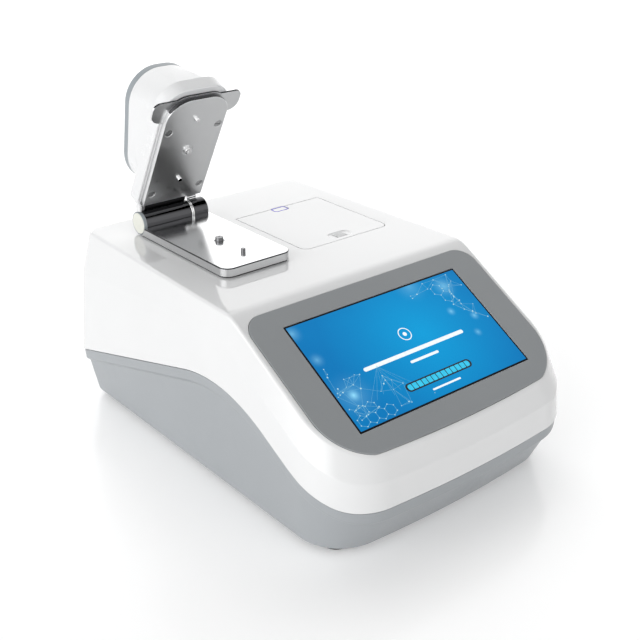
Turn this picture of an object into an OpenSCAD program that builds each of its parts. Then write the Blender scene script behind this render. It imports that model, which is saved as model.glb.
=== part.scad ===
// Benchtop micro-volume spectrophotometer with a hinged sampling arm, a cuvette port under a
// flush lid and a sloped touch screen. Millimetres, +Z up, front towards -Y.
// Origin: centre of the footprint, on the bench surface.

/* [Body] */
// Width across the widest part of the side walls
body_w = 233; // [200:1:260]
// Depth from the front fascia to the flat back
body_d = 320; // [280:1:360]
// Height of the flat top above the bench
top_z = 140; // [120:1:160]
// Height of the rubber feet under the base tray
foot_h = 4; // [2:0.5:8]
// Slope of the screen face
screen_tilt = 30; // [20:1:40]
// Wall thickness of the upper shell
shell_t = 3; // [2:0.5:4]
// Wall thickness of the base tray
tray_t = 3; // [2:0.5:4]
// Outward flare of the side walls, degrees from vertical
wall_flare = 5.5; // [0:0.5:10]
// Radius of the two front corners at the parting line
front_r = 45; // [30:1:60]
// Plan radius of the slightly bowed front
bow_r = 900; // [600:50:1500]

/* [Screen] */
// Height of the screen centre above the bench
screen_z = 107.15; // [90:0.05:120]
// Depth of the screen centre from the footprint centre (towards the front is negative)
screen_y = -94.7; // [-110:0.1:-80]
// Width of the active screen area
lcd_w = 154.2; // [130:0.1:180]
// Height of the active screen area
lcd_h = 85.9; // [70:0.1:110]
// Half width of the grey surround
bezel_hw = 103; // [95:0.5:110]

/* [Sampling station] */
// Centre of the station from the body centre line
arm_x = -46.5; // [-55:0.5:-35]
// Depth of the hinge axis
hinge_y = 124; // [110:0.5:135]
// Height of the hinge axis
hinge_z = 149.3; // [148:0.1:155]
// Radius of the hinge barrel
barrel_r = 8.7; // [7:0.1:10]
// Opening angle of the arm as drawn, measured from the closed position
arm_open = 61; // [0:1:75]
// Height of the lower plate above the bench
plate_top = 147.5; // [145:0.1:150]
// Half width of the lower plate
plate_hw = 29.7; // [25:0.1:35]
// Half width of the upper plate
arm_hw = 26; // [22:0.5:30]
// Distance from hinge axis to the measuring spot
spot_r = 64.6; // [50:0.1:75]
// Distance from hinge axis to the outer locating post
post_r = 94.1; // [80:0.1:100]
// Gap between the two plates when the arm is closed
plate_gap = 5.4; // [3.5:0.1:7]
// Height of the lower pedestal above its plate
pedestal_h = 2.9; // [1:0.1:4]
// Length of the optical path left between the two pedestals
path_len = 0.5; // [0.2:0.05:1]

/* [Cuvette port] */
// Left edge of the lid
lid_x0 = 1.3; // [-5:0.1:10]
// Right edge of the lid
lid_x1 = 84.2; // [75:0.1:95]
// Front edge of the lid
lid_y0 = 19.3; // [10:0.1:30]
// Rear edge of the lid
lid_y1 = 105.9; // [95:0.1:115]
// Inside width of the cuvette well
well_w = 12.6; // [12.5:0.05:13]

/* [Rear panel] */
// Width of the connector panel
rear_w = 150; // [120:1:180]
// Height of the connector panel
rear_h = 40; // [30:1:50]

/* [Hidden] */
$fn = 64;
half_w = body_w / 2;
y_back = body_d / 2;
y_front = -body_d / 2;
rear_r = 8;
flare_k = tan(wall_flare);
slope_k = tan(screen_tilt);
// height of the parting line at the back, where the body is widest
part_back_z = 43.3;
top_hw_wall = half_w - (top_z - part_back_z) * flare_k;
// where the slope plane meets the flat top, measured forward from the back
bend_t = y_back - screen_y - (top_z - screen_z) / slope_k;
face_d = plate_top + plate_gap - hinge_z;
tip_h = plate_gap - path_len - pedestal_h;
bezel_t = 1.8;
rear_z = 82;
// outer face of the connector panel, behind the shell's back wall
port_y = y_back - 3;
lid_t = 2.2;
lid_pin_z = top_z - 1.5;
lid_pin_y = lid_y1 - 2.95;
lid_cx = (lid_x0 + lid_x1) / 2;
rocker_x = 50;
rocker_tilt = 7;
// middle of the finger grip on the lid
grip_y = lid_y0 + 9.3;

// two straight runs joined by a smooth bend, t measured forward from the back
function bent(t, tk, zk, m1, m2, l) =
  t < tk - l ? zk + m1 * (t - tk)
  : t > tk + l ? zk + m2 * (t - tk)
  : zk + m1 * (t - tk) + (m2 - m1) * pow(t - tk + l, 2) / (4 * l);
function z_top(t) = bent(t, bend_t, top_z, 0, -slope_k, 6.6);
function z_crease(t) = t < 290
  ? bent(t, 181.4, top_z - 16.3, 0.0833, -0.49, 9)
  : bent(t, 312.2, top_z - 80.4, -0.49, 0, 10);
function z_part(t) = t < 290
  ? bent(t, 192.8, top_z - 44.8, 0.2694, -0.466, 46)
  : bent(t, 308.2, top_z - 98.6, -0.466, 0, 10);
function hw_wall(z) = top_hw_wall + (top_z - z) * flare_k;

// level 0 top edge, 1 crease, 2 parting line, 3 band, 4 step, 5 tray bottom
function lv_z(k, t) =
  k == 0 ? z_top(t)
  : k == 1 ? z_crease(t)
  : k == 2 ? z_part(t)
  : k == 3 ? z_part(t) - 8.8
  : k == 4 ? z_part(t) - 11.3
  : foot_h;
function lv_hw(k, t) =
  k == 0 ? min(half_w - 9.5, half_w - 15.5 + 0.0323 * t)
  : k == 1 ? hw_wall(z_crease(t))
  : k == 2 ? hw_wall(z_part(t))
  : k == 3 ? hw_wall(z_part(t)) - 1.6
  : k == 4 ? hw_wall(z_part(t)) - 4.6
  : half_w - 11;
function lv_yf(k) = y_front + [9.4, 1.8, 0, 1.2, 4, 18][k];
function lv_rc(k) = front_r + [-5, -2, 0, -1, -3, -11][k];

stations = concat([for (y = [142:-12:34]) y], [for (y = [26:-4:-30]) y],
                  [for (y = [-32:-2:-46]) y], [for (y = [-50:-5:-105]) y]);

// left half of one contour from the rear corner to the middle of the front
function half_loop(k, g, dz) =
  let (hb = lv_hw(k, rear_r) - g,
       tc = y_back + 105,
       hf = lv_hw(k, tc) - g,
       rc = lv_rc(k) - g,
       cx = -(hf - rc),
       yf = lv_yf(k) + g,
       cy = yf + cx * cx / (2 * bow_r) + rc,
       flat = concat(
         [for (a = [90:18:180]) [-(hb - rear_r) + rear_r * cos(a), y_back - g - rear_r + rear_r * sin(a)]],
         [for (y = stations) [-(lv_hw(k, y_back - y) - g), y]],
         [for (a = [180:7.15:266]) [cx + rc * cos(a), cy + rc * sin(a)]],
         [for (i = [6:-1:0]) [cx * 0.92 * i / 7, yf + pow(cx * 0.92 * i / 7, 2) / (2 * bow_r)]]))
  [for (p = flat) [p[0], p[1], lv_z(k, y_back - p[1]) + dz]];

function full_loop(h) = concat(h, [for (i = [len(h) - 2:-1:0]) [-h[i][0], h[i][1], h[i][2]]]);

// solid through a list of [level, inset, lift]
module body_solid(levels) {
  halves = [for (l = levels) half_loop(l[0], l[1], l[2])];
  nh = len(halves[0]);
  n = 2 * nh - 1;
  loops = [for (h = halves) full_loop(h)];
  last = (len(levels) - 1) * n;
  pts = [for (l = loops) each l];
  sides = [for (j = [0:len(levels) - 2]) for (i = [0:n - 1])
    let (a = j * n + i, b = j * n + (i + 1) % n)
    each [[a, b, b + n], [a, b + n, a + n]]];
  top_f = concat(
    [for (i = [0:nh - 3]) each [[i, n - 1 - i, n - 2 - i], [i, n - 2 - i, i + 1]]],
    [[nh - 2, nh, nh - 1]]);
  bot_f = [for (f = top_f) [last + f[0], last + f[2], last + f[1]]];
  polyhedron(points = pts, faces = concat(top_f, sides, bot_f), convexity = 8);
}

module on_screen() {
  translate([0, screen_y, screen_z]) rotate([screen_tilt, 0, 0]) children();
}

// frame on the hinge axis: the arm runs along -Y and its back is towards +Z
module on_arm() {
  translate([arm_x, hinge_y, hinge_z]) rotate([-arm_open, 0, 0]) children();
}

module on_station() {
  translate([arm_x, hinge_y, 0]) children();
}

// rectangle centred in x from y0 to y1 with its own radii at the two ends
module round_rect(hw, y0, y1, r0, r1) {
  translate([-hw, y0 + r0]) square([2 * hw, y1 - y0 - r0 - r1]);
  translate([-hw + r0, y0]) square([2 * (hw - r0), y1 - y0 - r1]);
  translate([-hw + r1, y0 + r0]) square([2 * (hw - r1), y1 - y0 - r0]);
  for (s = [-1, 1]) {
    translate([s * (hw - r0), y0 + r0]) circle(r0);
    translate([s * (hw - r1), y1 - r1]) circle(r1);
  }
}

// grey surround outline, bowed along its lower edge
module bezel_shape(g) {
  intersection() {
    round_rect(bezel_hw + g, -63 - g, 59 + g, 40 + g, 15 + g);
    translate([0, 1150 - 63 - g]) circle(1150, $fn = 720);
  }
}

module screw(r, l, head_r, head_h) {
  cylinder(h = l, r = r, $fn = 32);
  translate([0, 0, l]) difference() {
    cylinder(h = head_h, r = head_r, $fn = 32);
    translate([-head_r, -0.4, head_h - 0.8]) cube([2 * head_r, 0.8, 1]);
  }
}

// ---------------------------------------------------------------- housing
module upper_shell() color("whitesmoke") {
  difference() {
    union() {
      shell_wall();
      for (x = [lid_x0 - 4.5, lid_x1 + 0.5]) translate([x, lid_pin_y - 4, top_z - 6]) cube([4, 8, 4]);
    }
    translate([lid_x0 - 3.5, lid_pin_y, lid_pin_z]) rotate([0, 90, 0])
      cylinder(h = lid_x1 - lid_x0 + 7, r = 0.85, $fn = 32);
  }
}

module shell_wall() {
  difference() {
    body_solid([[0, 0, 0], [1, 0, 0], [2, 0, 0]]);
    body_solid([[0, shell_t, -shell_t], [1, shell_t, 0], [2, shell_t, 1.5], [2, shell_t, -12]]);
    on_screen() translate([0, 0, -bezel_t + 0.3]) linear_extrude(10) bezel_shape(0.25);
    on_screen() translate([-85, -52.5, -20]) cube([170, 105, 40]);
    translate([lid_cx, 0, top_z - 10]) linear_extrude(20) {
      round_rect((lid_x1 - lid_x0) / 2 + 0.5, lid_y0 - 0.5, lid_y1, 6.5, 0.8);
      round_rect(6.9, lid_pin_y, lid_y1 + 1.3, 0.5, 2.6);
    }
    on_station() translate([0, -spot_r, 0]) cylinder(h = 200, r = 12);
    for (x = [-22, 22], r = [22, 106]) on_station() translate([x, -r, 0]) cylinder(h = 200, r = 1.7);
    translate([-rear_w / 2, y_back - 10, rear_z - rear_h / 2]) cube([rear_w, 20, rear_h]);
    for (i = [-9:9]) translate([i * 8 - 1.5, y_back - 5, 112]) cube([3, 10, 14]);
  }
}

module base_tray() color("slategray") {
  difference() {
    body_solid([[2, 0.5, -0.3], [3, 0, 0], [4, 0, 0], [5, 0, 0]]);
    body_solid([[2, tray_t + 2, 6], [4, tray_t, 0], [5, tray_t, tray_t]]);
    for (x = [-85, 85], y = [-118, 138]) translate([x, y, 0]) cylinder(h = 30, r = 1.6, $fn = 32);
    for (i = [-7:7]) translate([i * 9 - 2, -20, 0]) cube([4, 60, 10]);
  }
  for (x = [-85, 85]) {
    translate([x, 138, foot_h]) tray_post(30);
    translate([x, -118, foot_h]) tray_post(16);
  }
}

module tray_post(h) {
  difference() {
    cylinder(h = h, r = 5.5, $fn = 32);
    translate([0, 0, -1]) cylinder(h = h + 2, r = 1.6, $fn = 32);
  }
}

module feet() color("black") {
  for (x = [-85, 85], y = [-118, 138]) translate([x, y, 0]) difference() {
    union() {
      cylinder(h = foot_h, r = 10.4);
      cylinder(h = 1, r = 9.8);
    }
    translate([0, 0, -1]) cylinder(h = 3, r = 3.4, $fn = 32);
    translate([0, 0, -1]) cylinder(h = foot_h + 2, r = 1.7, $fn = 32);
  }
}

module foot_screws() color("silver") {
  for (x = [-85, 85], y = [-118, 138]) translate([x, y, 2]) {
    cylinder(h = 16, r = 1.6, $fn = 32);
    translate([0, 0, -1.4]) cylinder(h = 1.4, r = 3.2, $fn = 32);
  }
}

// ---------------------------------------------------------------- screen stack
module front_panel() color("gray") {
  on_screen() translate([0, 0, -bezel_t + 0.4]) difference() {
    linear_extrude(bezel_t) bezel_shape(0);
    translate([-lcd_w / 2 - 1.4, -lcd_h / 2 - 1.4, -1]) cube([lcd_w + 2.8, lcd_h + 2.8, 4]);
  }
}

module touch_glass() color("midnightblue") {
  on_screen() translate([-lcd_w / 2 - 1.2, -lcd_h / 2 - 1.2, -1.5]) cube([lcd_w + 2.4, lcd_h + 2.4, 1.7]);
}

module lcd_module() color("silver") {
  on_screen() {
    translate([-82.5, -50, -7.3]) cube([165, 100, 5.6]);
    translate([-60, -30, -8.5]) cube([70, 40, 1.3]);
  }
}

module lcd_bracket() color("lightgray") {
  on_screen() difference() {
    union() {
      translate([-92, -51, -10]) cube([184, 102, 1.5]);
      for (x = [-88.5, 88.5], y = [-45, 45]) translate([x, y, -9]) cylinder(h = 6.3, r = 3, $fn = 32);
    }
    translate([-70, -38, -11]) cube([140, 76, 4]);
  }
}

// ---------------------------------------------------------------- sampling station, fixed half
module station_outline(g) {
  round_rect(plate_hw - g, -(hinge_y - 10) + g, -4, 8 - g / 2, 0.6);
}

module base_plate() color("silver") {
  on_station() difference() {
    translate([0, 0, top_z + 1.2]) linear_extrude(plate_top - top_z - 1.2) station_outline(0);
    translate([-40, 0, hinge_z]) rotate([0, 90, 0]) cylinder(h = 56, r = barrel_r + 0.4);
    translate([15, 0, hinge_z]) rotate([0, 90, 0]) cylinder(h = 20, r = barrel_r + 0.05);
    translate([0, -spot_r, 0]) cylinder(h = 200, r = 4.0);
    translate([0, -spot_r, plate_top - 0.4]) cylinder(h = 2, r = 5.2);
    translate([0, -post_r, 0]) cylinder(h = 200, r = 1.75);
    translate([0, -post_r, plate_top - 0.3]) cylinder(h = 2, r = 3.2);
    for (x = [-22, 22], r = [22, 106]) translate([x, -r, 0]) cylinder(h = plate_top - 2.5, r = 1.25);
  }
}

module plate_gasket() color("black") {
  on_station() difference() {
    translate([0, 0, top_z]) linear_extrude(1.2) station_outline(1.2);
    translate([-40, 0, hinge_z]) rotate([0, 90, 0]) cylinder(h = 90, r = barrel_r + 0.6);
    translate([0, -spot_r, 0]) cylinder(h = 200, r = 12);
    for (x = [-22, 22], r = [22, 106]) translate([x, -r, 0]) cylinder(h = 200, r = 1.7);
  }
}

module plate_screws() color("silver") {
  for (x = [-22, 22], r = [22, 106]) on_station() translate([x, -r, top_z - shell_t]) {
    cylinder(h = 7.4, r = 1.2, $fn = 32);
    translate([0, 0, -1.6]) cylinder(h = 1.6, r = 2.8, $fn = 32);
  }
}

module base_knuckle() color("silver") {
  on_station() translate([16, 0, hinge_z]) rotate([0, 90, 0]) difference() {
    cylinder(h = 12.9, r = barrel_r);
    translate([0, 0, -1]) cylinder(h = 11, r = 3);
    translate([-10, 3.0, 2.2]) rotate([0, 90, 0]) cylinder(h = 5.8, r = 1.22, $fn = 32);
  }
}

module hinge_shaft() color("silver") {
  on_station() translate([-26.2, 0, hinge_z]) rotate([0, 90, 0]) cylinder(h = 52.1, r = 2.98);
}

module hinge_rings() color("white") {
  on_station() for (x = [13.7, 15.0]) translate([x, 0, hinge_z]) rotate([0, 90, 0]) difference() {
    cylinder(h = 0.9, r = barrel_r + 0.25);
    translate([0, 0, -1]) cylinder(h = 3, r = 3);
  }
}

module stop_pin() color("silver") {
  on_station() translate([18.2, 3.0, hinge_z + 5]) {
    translate([0, 0, -0.8]) cylinder(h = 4.7, r = 1.2, $fn = 32);
    translate([0, 0, 4.9]) rotate([0, 90, 0]) translate([0, 0, -1.4]) cylinder(h = 8, r = 1.4, $fn = 32);
  }
}

module lower_pedestal() color("silver") {
  on_station() translate([0, -spot_r, 0]) difference() {
    union() {
      translate([0, 0, plate_top - 8]) cylinder(h = 8 + pedestal_h, r = 3);
      translate([0, 0, plate_top - 12]) cylinder(h = 11.2, r = 4.0);
    }
    translate([0, 0, 100]) cylinder(h = 100, r = 0.6, $fn = 32);
  }
}

module locating_post() color("silver") {
  on_station() translate([0, -post_r, plate_top - 4.5]) cylinder(h = 4.6 + pedestal_h, r = 1.75);
}

module optics_block() color("dimgray") {
  on_station() translate([0, -spot_r, 0]) difference() {
    translate([-16, -16, 112]) cube([32, 32, 24.8]);
    translate([0, 0, 100]) cylinder(h = 50, r = 4.1);
    translate([0, 0, 121]) rotate([0, 90, 0]) cylinder(h = 30, r = 4.5);
    translate([0, 0, 121]) rotate([90, 0, 0]) cylinder(h = 30, r = 2.5);
  }
}

module lamp_module() color("darkgoldenrod") {
  on_station() translate([0, -spot_r, 121]) {
    translate([16, 0, 0]) rotate([0, 90, 0]) cylinder(h = 18, r = 12);
    translate([12, 0, 0]) rotate([0, 90, 0]) cylinder(h = 6, r = 4.4);
    translate([34, -13, -13]) cube([12, 26, 22]);
  }
}

module spectrometer() color("dimgray") {
  translate([-72, -55, 60]) cube([60, 78, 28]);
  translate([arm_x, hinge_y - spot_r - 47.5, 88]) cylinder(h = 9.4, r = 3.2);
  for (x = [-76, -12], y = [-50, 12]) translate([x, y, 60]) cube([4, 6, 3]);
}

module optic_fibre() color("orange") {
  translate([arm_x, hinge_y - spot_r - 16, 121]) rotate([90, 0, 0]) cylinder(h = 8, r = 2.4);
  translate([arm_x, hinge_y - spot_r - 24, 97.5]) rotate([0, -90, 0])
    rotate_extrude(angle = -90) translate([23.5, 0]) circle(1.5, $fn = 32);
}

// ---------------------------------------------------------------- cuvette port
module lid() color("whitesmoke") {
  difference() {
    union() {
      translate([lid_cx, 0, top_z - lid_t]) linear_extrude(lid_t)
        round_rect((lid_x1 - lid_x0) / 2, lid_y0, lid_y1 - 0.5, 6, 0.8);
      for (x = [lid_x0, lid_x1 - 8]) translate([x, lid_pin_y, lid_pin_z]) rotate([0, 90, 0])
        cylinder(h = 8, r = 1.5, $fn = 48);
    }
    translate([lid_cx, grip_y, top_z - 1.2]) linear_extrude(3) grip_outline(0);
    translate([lid_cx, grip_y, top_z - 0.5]) linear_extrude(3) grip_outline(0.7);
    translate([lid_cx, 0, top_z - 5]) linear_extrude(10)
      round_rect(7.2, lid_pin_y - 4.75, lid_y1 + 3, 2.8, 0.5);
    for (x = [lid_x0 - 1, lid_x1 - 5]) translate([x, lid_pin_y, lid_pin_z]) rotate([0, 90, 0])
      cylinder(h = 6, r = 0.8, $fn = 32);
  }
  for (i = [-2:2]) translate([lid_cx - 5, grip_y + i * 1.55 - 0.35, top_z - 1.4]) cube([10, 0.7, 1.2]);
}

module grip_outline(g) {
  for (s = [-1, 1]) translate([s * 5.6, 0]) circle(4.5 + g);
  translate([-5.6, -4.5 - g]) square([11.2, 9 + 2 * g]);
}

module lid_pins() color("silver") {
  for (x = [lid_x0 - 3.3, lid_x1 - 4.7]) translate([x, lid_pin_y, lid_pin_z]) rotate([0, 90, 0])
    cylinder(h = 8, r = 0.8, $fn = 32);
}

module latch_window() color("mediumslateblue") {
  translate([lid_cx, 0, top_z - 2.6]) linear_extrude(2.5) difference() {
    round_rect(6.6, lid_pin_y - 4.1, lid_y1 + 1, 2.4, 2.4);
    round_rect(5.95, lid_pin_y - 3.45, lid_y1 + 0.35, 1.75, 1.75);
  }
}

module latch_button() color("whitesmoke") {
  translate([lid_cx, 0, top_z - 2.6]) linear_extrude(2.35)
    round_rect(5.9, lid_pin_y - 3.4, lid_y1 + 0.3, 1.7, 1.7);
}

module lid_frame() color("lightgray") {
  difference() {
    translate([lid_x0 - 5, lid_y0 - 5, top_z - 9]) cube([lid_x1 - lid_x0 + 10, lid_y1 - lid_y0 + 10, 6]);
    translate([lid_x0 + 4, lid_y0 + 4, top_z - 20]) cube([lid_x1 - lid_x0 - 8, lid_y1 - lid_y0 - 16, 40]);
    translate([lid_x0 - 0.5, lid_pin_y - 3.4, top_z - 5.2]) cube([lid_x1 - lid_x0 + 1, lid_y1 - lid_pin_y + 3.8, 3]);
    translate([lid_x0 - 5.5, lid_pin_y - 5, top_z - 7]) cube([14.5, 10, 8]);
    translate([lid_x1 - 9, lid_pin_y - 5, top_z - 7]) cube([14.5, 10, 8]);
  }
  translate([lid_cx - 6, lid_pin_y - 3.7, top_z - 6]) cube([12, 7.4, 3.4]);
  for (p = [[lid_x0 + 9, lid_y0 + 2], [lid_x1 - 9, lid_y0 + 2], [lid_x0 + 2, lid_y1 - 14], [lid_x1 - 2, lid_y1 - 14]])
    translate([p[0], p[1], top_z - 3.2]) cylinder(h = 0.65, r = 1.6, $fn = 32);
}

module cuvette_holder() color("black") {
  translate([lid_cx, 58, 0]) difference() {
    union() {
      translate([-22, -22, 76]) cube([44, 44, 55]);
      translate([-41.5, -38, 126]) cube([83, 74, 3]);
    }
    translate([-well_w / 2, -well_w / 2, 86]) cube([well_w, well_w, 60]);
    translate([-well_w / 2 - 1.5, -well_w / 2 - 1.5, 127]) cube([well_w + 3, well_w + 3, 10]);
    for (a = [0, 90]) rotate([0, 0, a]) translate([0, 0, 100]) rotate([0, 90, 0])
      translate([0, 0, -40]) cylinder(h = 80, r = 3.5, $fn = 48);
  }
}

module cuvette_source() color("darkgoldenrod") {
  translate([lid_cx, 58, 100]) rotate([0, 90, 0]) translate([0, 0, 22]) {
    cylinder(h = 3, r = 7, $fn = 48);
    translate([0, 0, -6]) cylinder(h = 6, r = 3.4, $fn = 48);
    translate([-12, -12, 3]) cube([24, 24, 1.6]);
  }
}

module cuvette_detector() color("seagreen") {
  translate([lid_cx, 58, 100]) rotate([0, -90, 0]) translate([0, 0, 22]) {
    cylinder(h = 3, r = 7, $fn = 48);
    translate([0, 0, -6]) cylinder(h = 6, r = 3.4, $fn = 48);
    translate([-11, -11, 3]) cube([22, 22, 1.6]);
  }
}

// ---------------------------------------------------------------- electronics
module main_board() color("darkgreen") {
  difference() {
    translate([-70, -100, 16]) cube([140, 110, 1.6]);
    for (x = [-64, 64], y = [-94, 4]) translate([x, y, 10]) cylinder(h = 10, r = 1.6, $fn = 32);
  }
  translate([-20, -60, 17.6]) cube([24, 24, 2.4]);
  translate([16, -55, 17.6]) cube([14, 14, 1.4]);
  translate([-60, -30, 17.6]) cube([30, 8, 5]);
  for (i = [0:5]) translate([30 + i * 6, -20, 17.6]) cylinder(h = 7, r = 2.4, $fn = 32);
}

module board_posts() color("lightgray") {
  for (x = [-64, 64], y = [-94, 4]) translate([x, y, foot_h + tray_t]) {
    cylinder(h = 16 - foot_h - tray_t, r = 3.5, $fn = 32);
    cylinder(h = 13, r = 1.5, $fn = 32);
  }
}

module io_board() color("darkgreen") {
  translate([-72, y_back - 40, 64.4]) cube([110, 34, 1.6]);
  for (x = [-68, 32], y = [y_back - 37, y_back - 11]) translate([x - 2, y - 2, 61.2]) cube([4, 4, 3.2]);
}

module rear_panel() color("dimgray") {
  translate([0, port_y, 0]) difference() {
    translate([-rear_w / 2 - 3, -1.6, rear_z - rear_h / 2 - 3]) cube([rear_w + 6, 1.6, rear_h + 6]);
    translate([-62, 3, 72]) rotate([90, 0, 0]) cylinder(h = 10, r = 4.2, $fn = 48);
    translate([-46.2, -5, 65.8]) cube([14.4, 10, 15.9]);
    translate([-24.2, -5, 65.8]) cube([12.4, 10, 11.4]);
    translate([-4.2, -5, 65.8]) cube([16.4, 10, 13.4]);
    translate([rocker_x - 9.6, -5, rear_z - 13.1]) cube([19.2, 10, 26.2]);
  }
  translate([-74, port_y - 38, 60]) cube([114, 37, 1.2]);
}

module dc_inlet() color("black") {
  translate([-62, port_y, 72]) rotate([90, 0, 0]) {
    difference() {
      union() {
        cylinder(h = 4, r = 4.1, $fn = 48);
        translate([-5.5, -6, 3.6]) cube([11, 11.5, 10]);
      }
      translate([0, 0, -1]) cylinder(h = 10.5, r = 3.1, $fn = 48);
    }
    translate([0, 0, 0.8]) cylinder(h = 9, r = 1.05, $fn = 32);
  }
}

module usb_host() color("silver") {
  translate([-46, port_y - 16, 66]) {
    difference() {
      cube([14, 16, 15.5]);
      for (z = [1, 8.7]) translate([0.7, 3, z]) cube([12.6, 14, 5.8]);
    }
    for (z = [1, 8.7]) translate([1.4, 2.5, z + 4.4]) cube([11.2, 12, 1.2]);
  }
}

module usb_device() color("silver") {
  translate([-24, port_y - 16, 66]) {
    difference() {
      cube([12, 16, 11]);
      translate([1.8, 4, 1.6]) cube([8.4, 14, 7.8]);
    }
    translate([3.2, 3.5, 4.2]) cube([5.6, 4, 3]);
  }
}

module lan_port() color("silver") {
  translate([-4, port_y - 18, 66]) difference() {
    cube([16, 18, 13]);
    translate([2, 4, 2]) cube([12, 15, 7.5]);
    translate([5, 4, 9]) cube([6, 15, 2]);
  }
}

module switch_frame() color("black") {
  translate([rocker_x, port_y, rear_z]) rotate([90, 0, 0]) difference() {
    union() {
      translate([-9.5, -13, 0]) cube([19, 26, 16]);
      translate([-11, -14.5, -1.2]) cube([22, 29, 1.2]);
    }
    translate([-7, -10.4, -3]) cube([14, 20.8, 15]);
    translate([-8.2, 0, 3]) rotate([0, 90, 0]) cylinder(h = 16.4, r = 1.05, $fn = 32);
  }
}

// drawn with its upper end pressed in
module rocker() color("black") {
  translate([rocker_x, port_y, rear_z]) rotate([90, 0, 0]) translate([0, 0, 3]) rotate([rocker_tilt, 0, 0]) {
    difference() {
      rotate([0, 90, 0]) translate([0, 0, -6.5]) cylinder(h = 13, r = 9.6);
      translate([-8, -15, 1.6]) cube([16, 30, 20]);
      translate([0, 0, -17.6]) rotate([0, 90, 0]) translate([0, 0, -8]) cylinder(h = 16, r = 14, $fn = 96);
    }
    translate([-8.1, 0, 0]) rotate([0, 90, 0]) cylinder(h = 16.2, r = 1, $fn = 32);
  }
}

// ---------------------------------------------------------------- arm
module arm_outline(g) {
  mirror([0, 1]) round_rect(arm_hw - g, 13, 112.5 - g, 0.8, 18 - g);
}

module arm_knuckle() color("silver") {
  on_arm() {
    difference() {
      translate([-26.5, 0, 0]) rotate([0, 90, 0]) cylinder(h = 39.9, r = barrel_r);
      translate([-30, 0, 0]) rotate([0, 90, 0]) cylinder(h = 60, r = 3.02);
    }
    difference() {
      translate([-24, -14, face_d]) cube([36, 13, 7 - face_d + 1.4]);
      translate([-30, 0, 0]) rotate([0, 90, 0]) cylinder(h = 60, r = barrel_r - 0.5);
    }
  }
}

module cap_ring() color("gray") {
  on_arm() translate([-29, 0, 0]) rotate([0, 90, 0]) difference() {
    cylinder(h = 2.5, r = barrel_r + 0.1);
    translate([0, 0, -1]) cylinder(h = 3, r = barrel_r - 0.7);
  }
}

module end_cap() color("ivory") {
  on_arm() translate([-29.3, 0, 0]) rotate([0, 90, 0]) cylinder(h = 2.3, r = barrel_r - 0.75);
}

module arm_plate() color("silver") {
  on_arm() difference() {
    union() {
      translate([0, 0, face_d + 1]) linear_extrude(6.9 - face_d - 1) arm_outline(0);
      translate([0, 0, face_d]) linear_extrude(2) arm_outline(1);
    }
    translate([-30, 0, 0]) rotate([0, 90, 0]) cylinder(h = 60, r = barrel_r + 0.3);
    translate([-24.1, -14.1, face_d - 1]) cube([36.2, 14, 12]);
    translate([0, -spot_r, 0]) cylinder(h = 20, r = 3.05);
    translate([0, -spot_r, face_d - 1]) cylinder(h = 1.5, r = 4.6);
    for (r = [36, post_r]) translate([0, -r, 0]) cylinder(h = 20, r = 1.6);
    for (x = [-21, 21], r = [25, 85]) translate([x, -r, 0]) {
      cylinder(h = 20, r = 1.5, $fn = 32);
      translate([0, 0, face_d - 1]) cylinder(h = 2.6, r = 3);
    }
  }
}

module arm_screws() color("silver") {
  on_arm() for (x = [-21, 21], r = [25, 85]) translate([x, -r, face_d + 0.15]) difference() {
    union() {
      cylinder(h = 1.45, r = 2.85);
      cylinder(h = 10, r = 1.45, $fn = 32);
    }
    rotate([0, 0, 35]) translate([-4, -0.4, -1]) cube([8, 0.8, 1.6]);
  }
}

module arm_pins() color("silver") {
  on_arm() for (r = [36, post_r]) translate([0, -r, face_d - tip_h - 0.1]) cylinder(h = tip_h + 4.1, r = 1.6);
}

module wing_plate() color("silver") {
  on_arm() difference() {
    translate([0, 0, 6.9]) linear_extrude(1.6) {
      mirror([0, 1]) round_rect(arm_hw + 1, 14.5, 113.6, 0.8, 18);
      mirror([0, 1]) round_rect(37, 93, 111, 8.5, 5.5);
    }
    translate([0, -spot_r, 0]) cylinder(h = 20, r = 6.2);
    for (r = [36, post_r]) translate([0, -r, 0]) cylinder(h = 20, r = 1.7);
    for (x = [-21, 21], r = [25, 85]) translate([x, -r, 0]) cylinder(h = 20, r = 1.7, $fn = 32);
  }
}

module arm_rim() color("whitesmoke") {
  on_arm() {
    difference() {
      translate([0, 0, 8.5]) linear_extrude(10.5) mirror([0, 1]) round_rect(28.5, 9, 118, 5, 19);
      translate([0, 0, 10.5]) linear_extrude(20) mirror([0, 1]) round_rect(24, 34, 106, 8, 12);
      translate([0, -spot_r, 0]) cylinder(h = 20, r = 6.2);
      for (x = [-21, 21], r = [25, 85]) translate([x, -r, 0]) cylinder(h = 17, r = 1.45, $fn = 32);
      translate([-30, 0, 0]) rotate([0, 90, 0]) cylinder(h = 60, r = barrel_r + 0.3);
      translate([-24.1, -14.1, 0]) cube([36.2, 14.1, 8.6]);
    }
    translate([-28.5, 0, 0]) rotate([90, 0, 90]) linear_extrude(1.4)
      polygon([[-16, 9], [-9, 9], [-6.4, 6.6], [-9.5, 2.5], [-13, 4]]);
  }
}

// frame on the tilted rear face of the head
module on_head() {
  translate([0, -58.3, 39.5]) rotate([-18.1, 0, 0]) children();
}

module head_outline(g) {
  round_rect(28.3 - g, -45.7 + g, 46.2 - g, 24.8 - g, 28 - g);
}

module head_top(g) {
  on_head() translate([0, 0, -1.2]) linear_extrude(1.2) head_outline(g);
}

module head_block(g) {
  hull() {
    head_top(g);
    translate([0, 0, 19]) linear_extrude(0.8) mirror([0, 1]) round_rect(28.3 - g, 22 + g, 115.6 - g, 20 - g, 18.6 - g);
  }
}

module head_shell() color("whitesmoke") {
  on_arm() difference() {
    head_block(0);
    translate([0, 0, 1.5]) head_block(2.4);
    translate([0, 0, -1.5]) head_block(2.4);
  }
}

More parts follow.
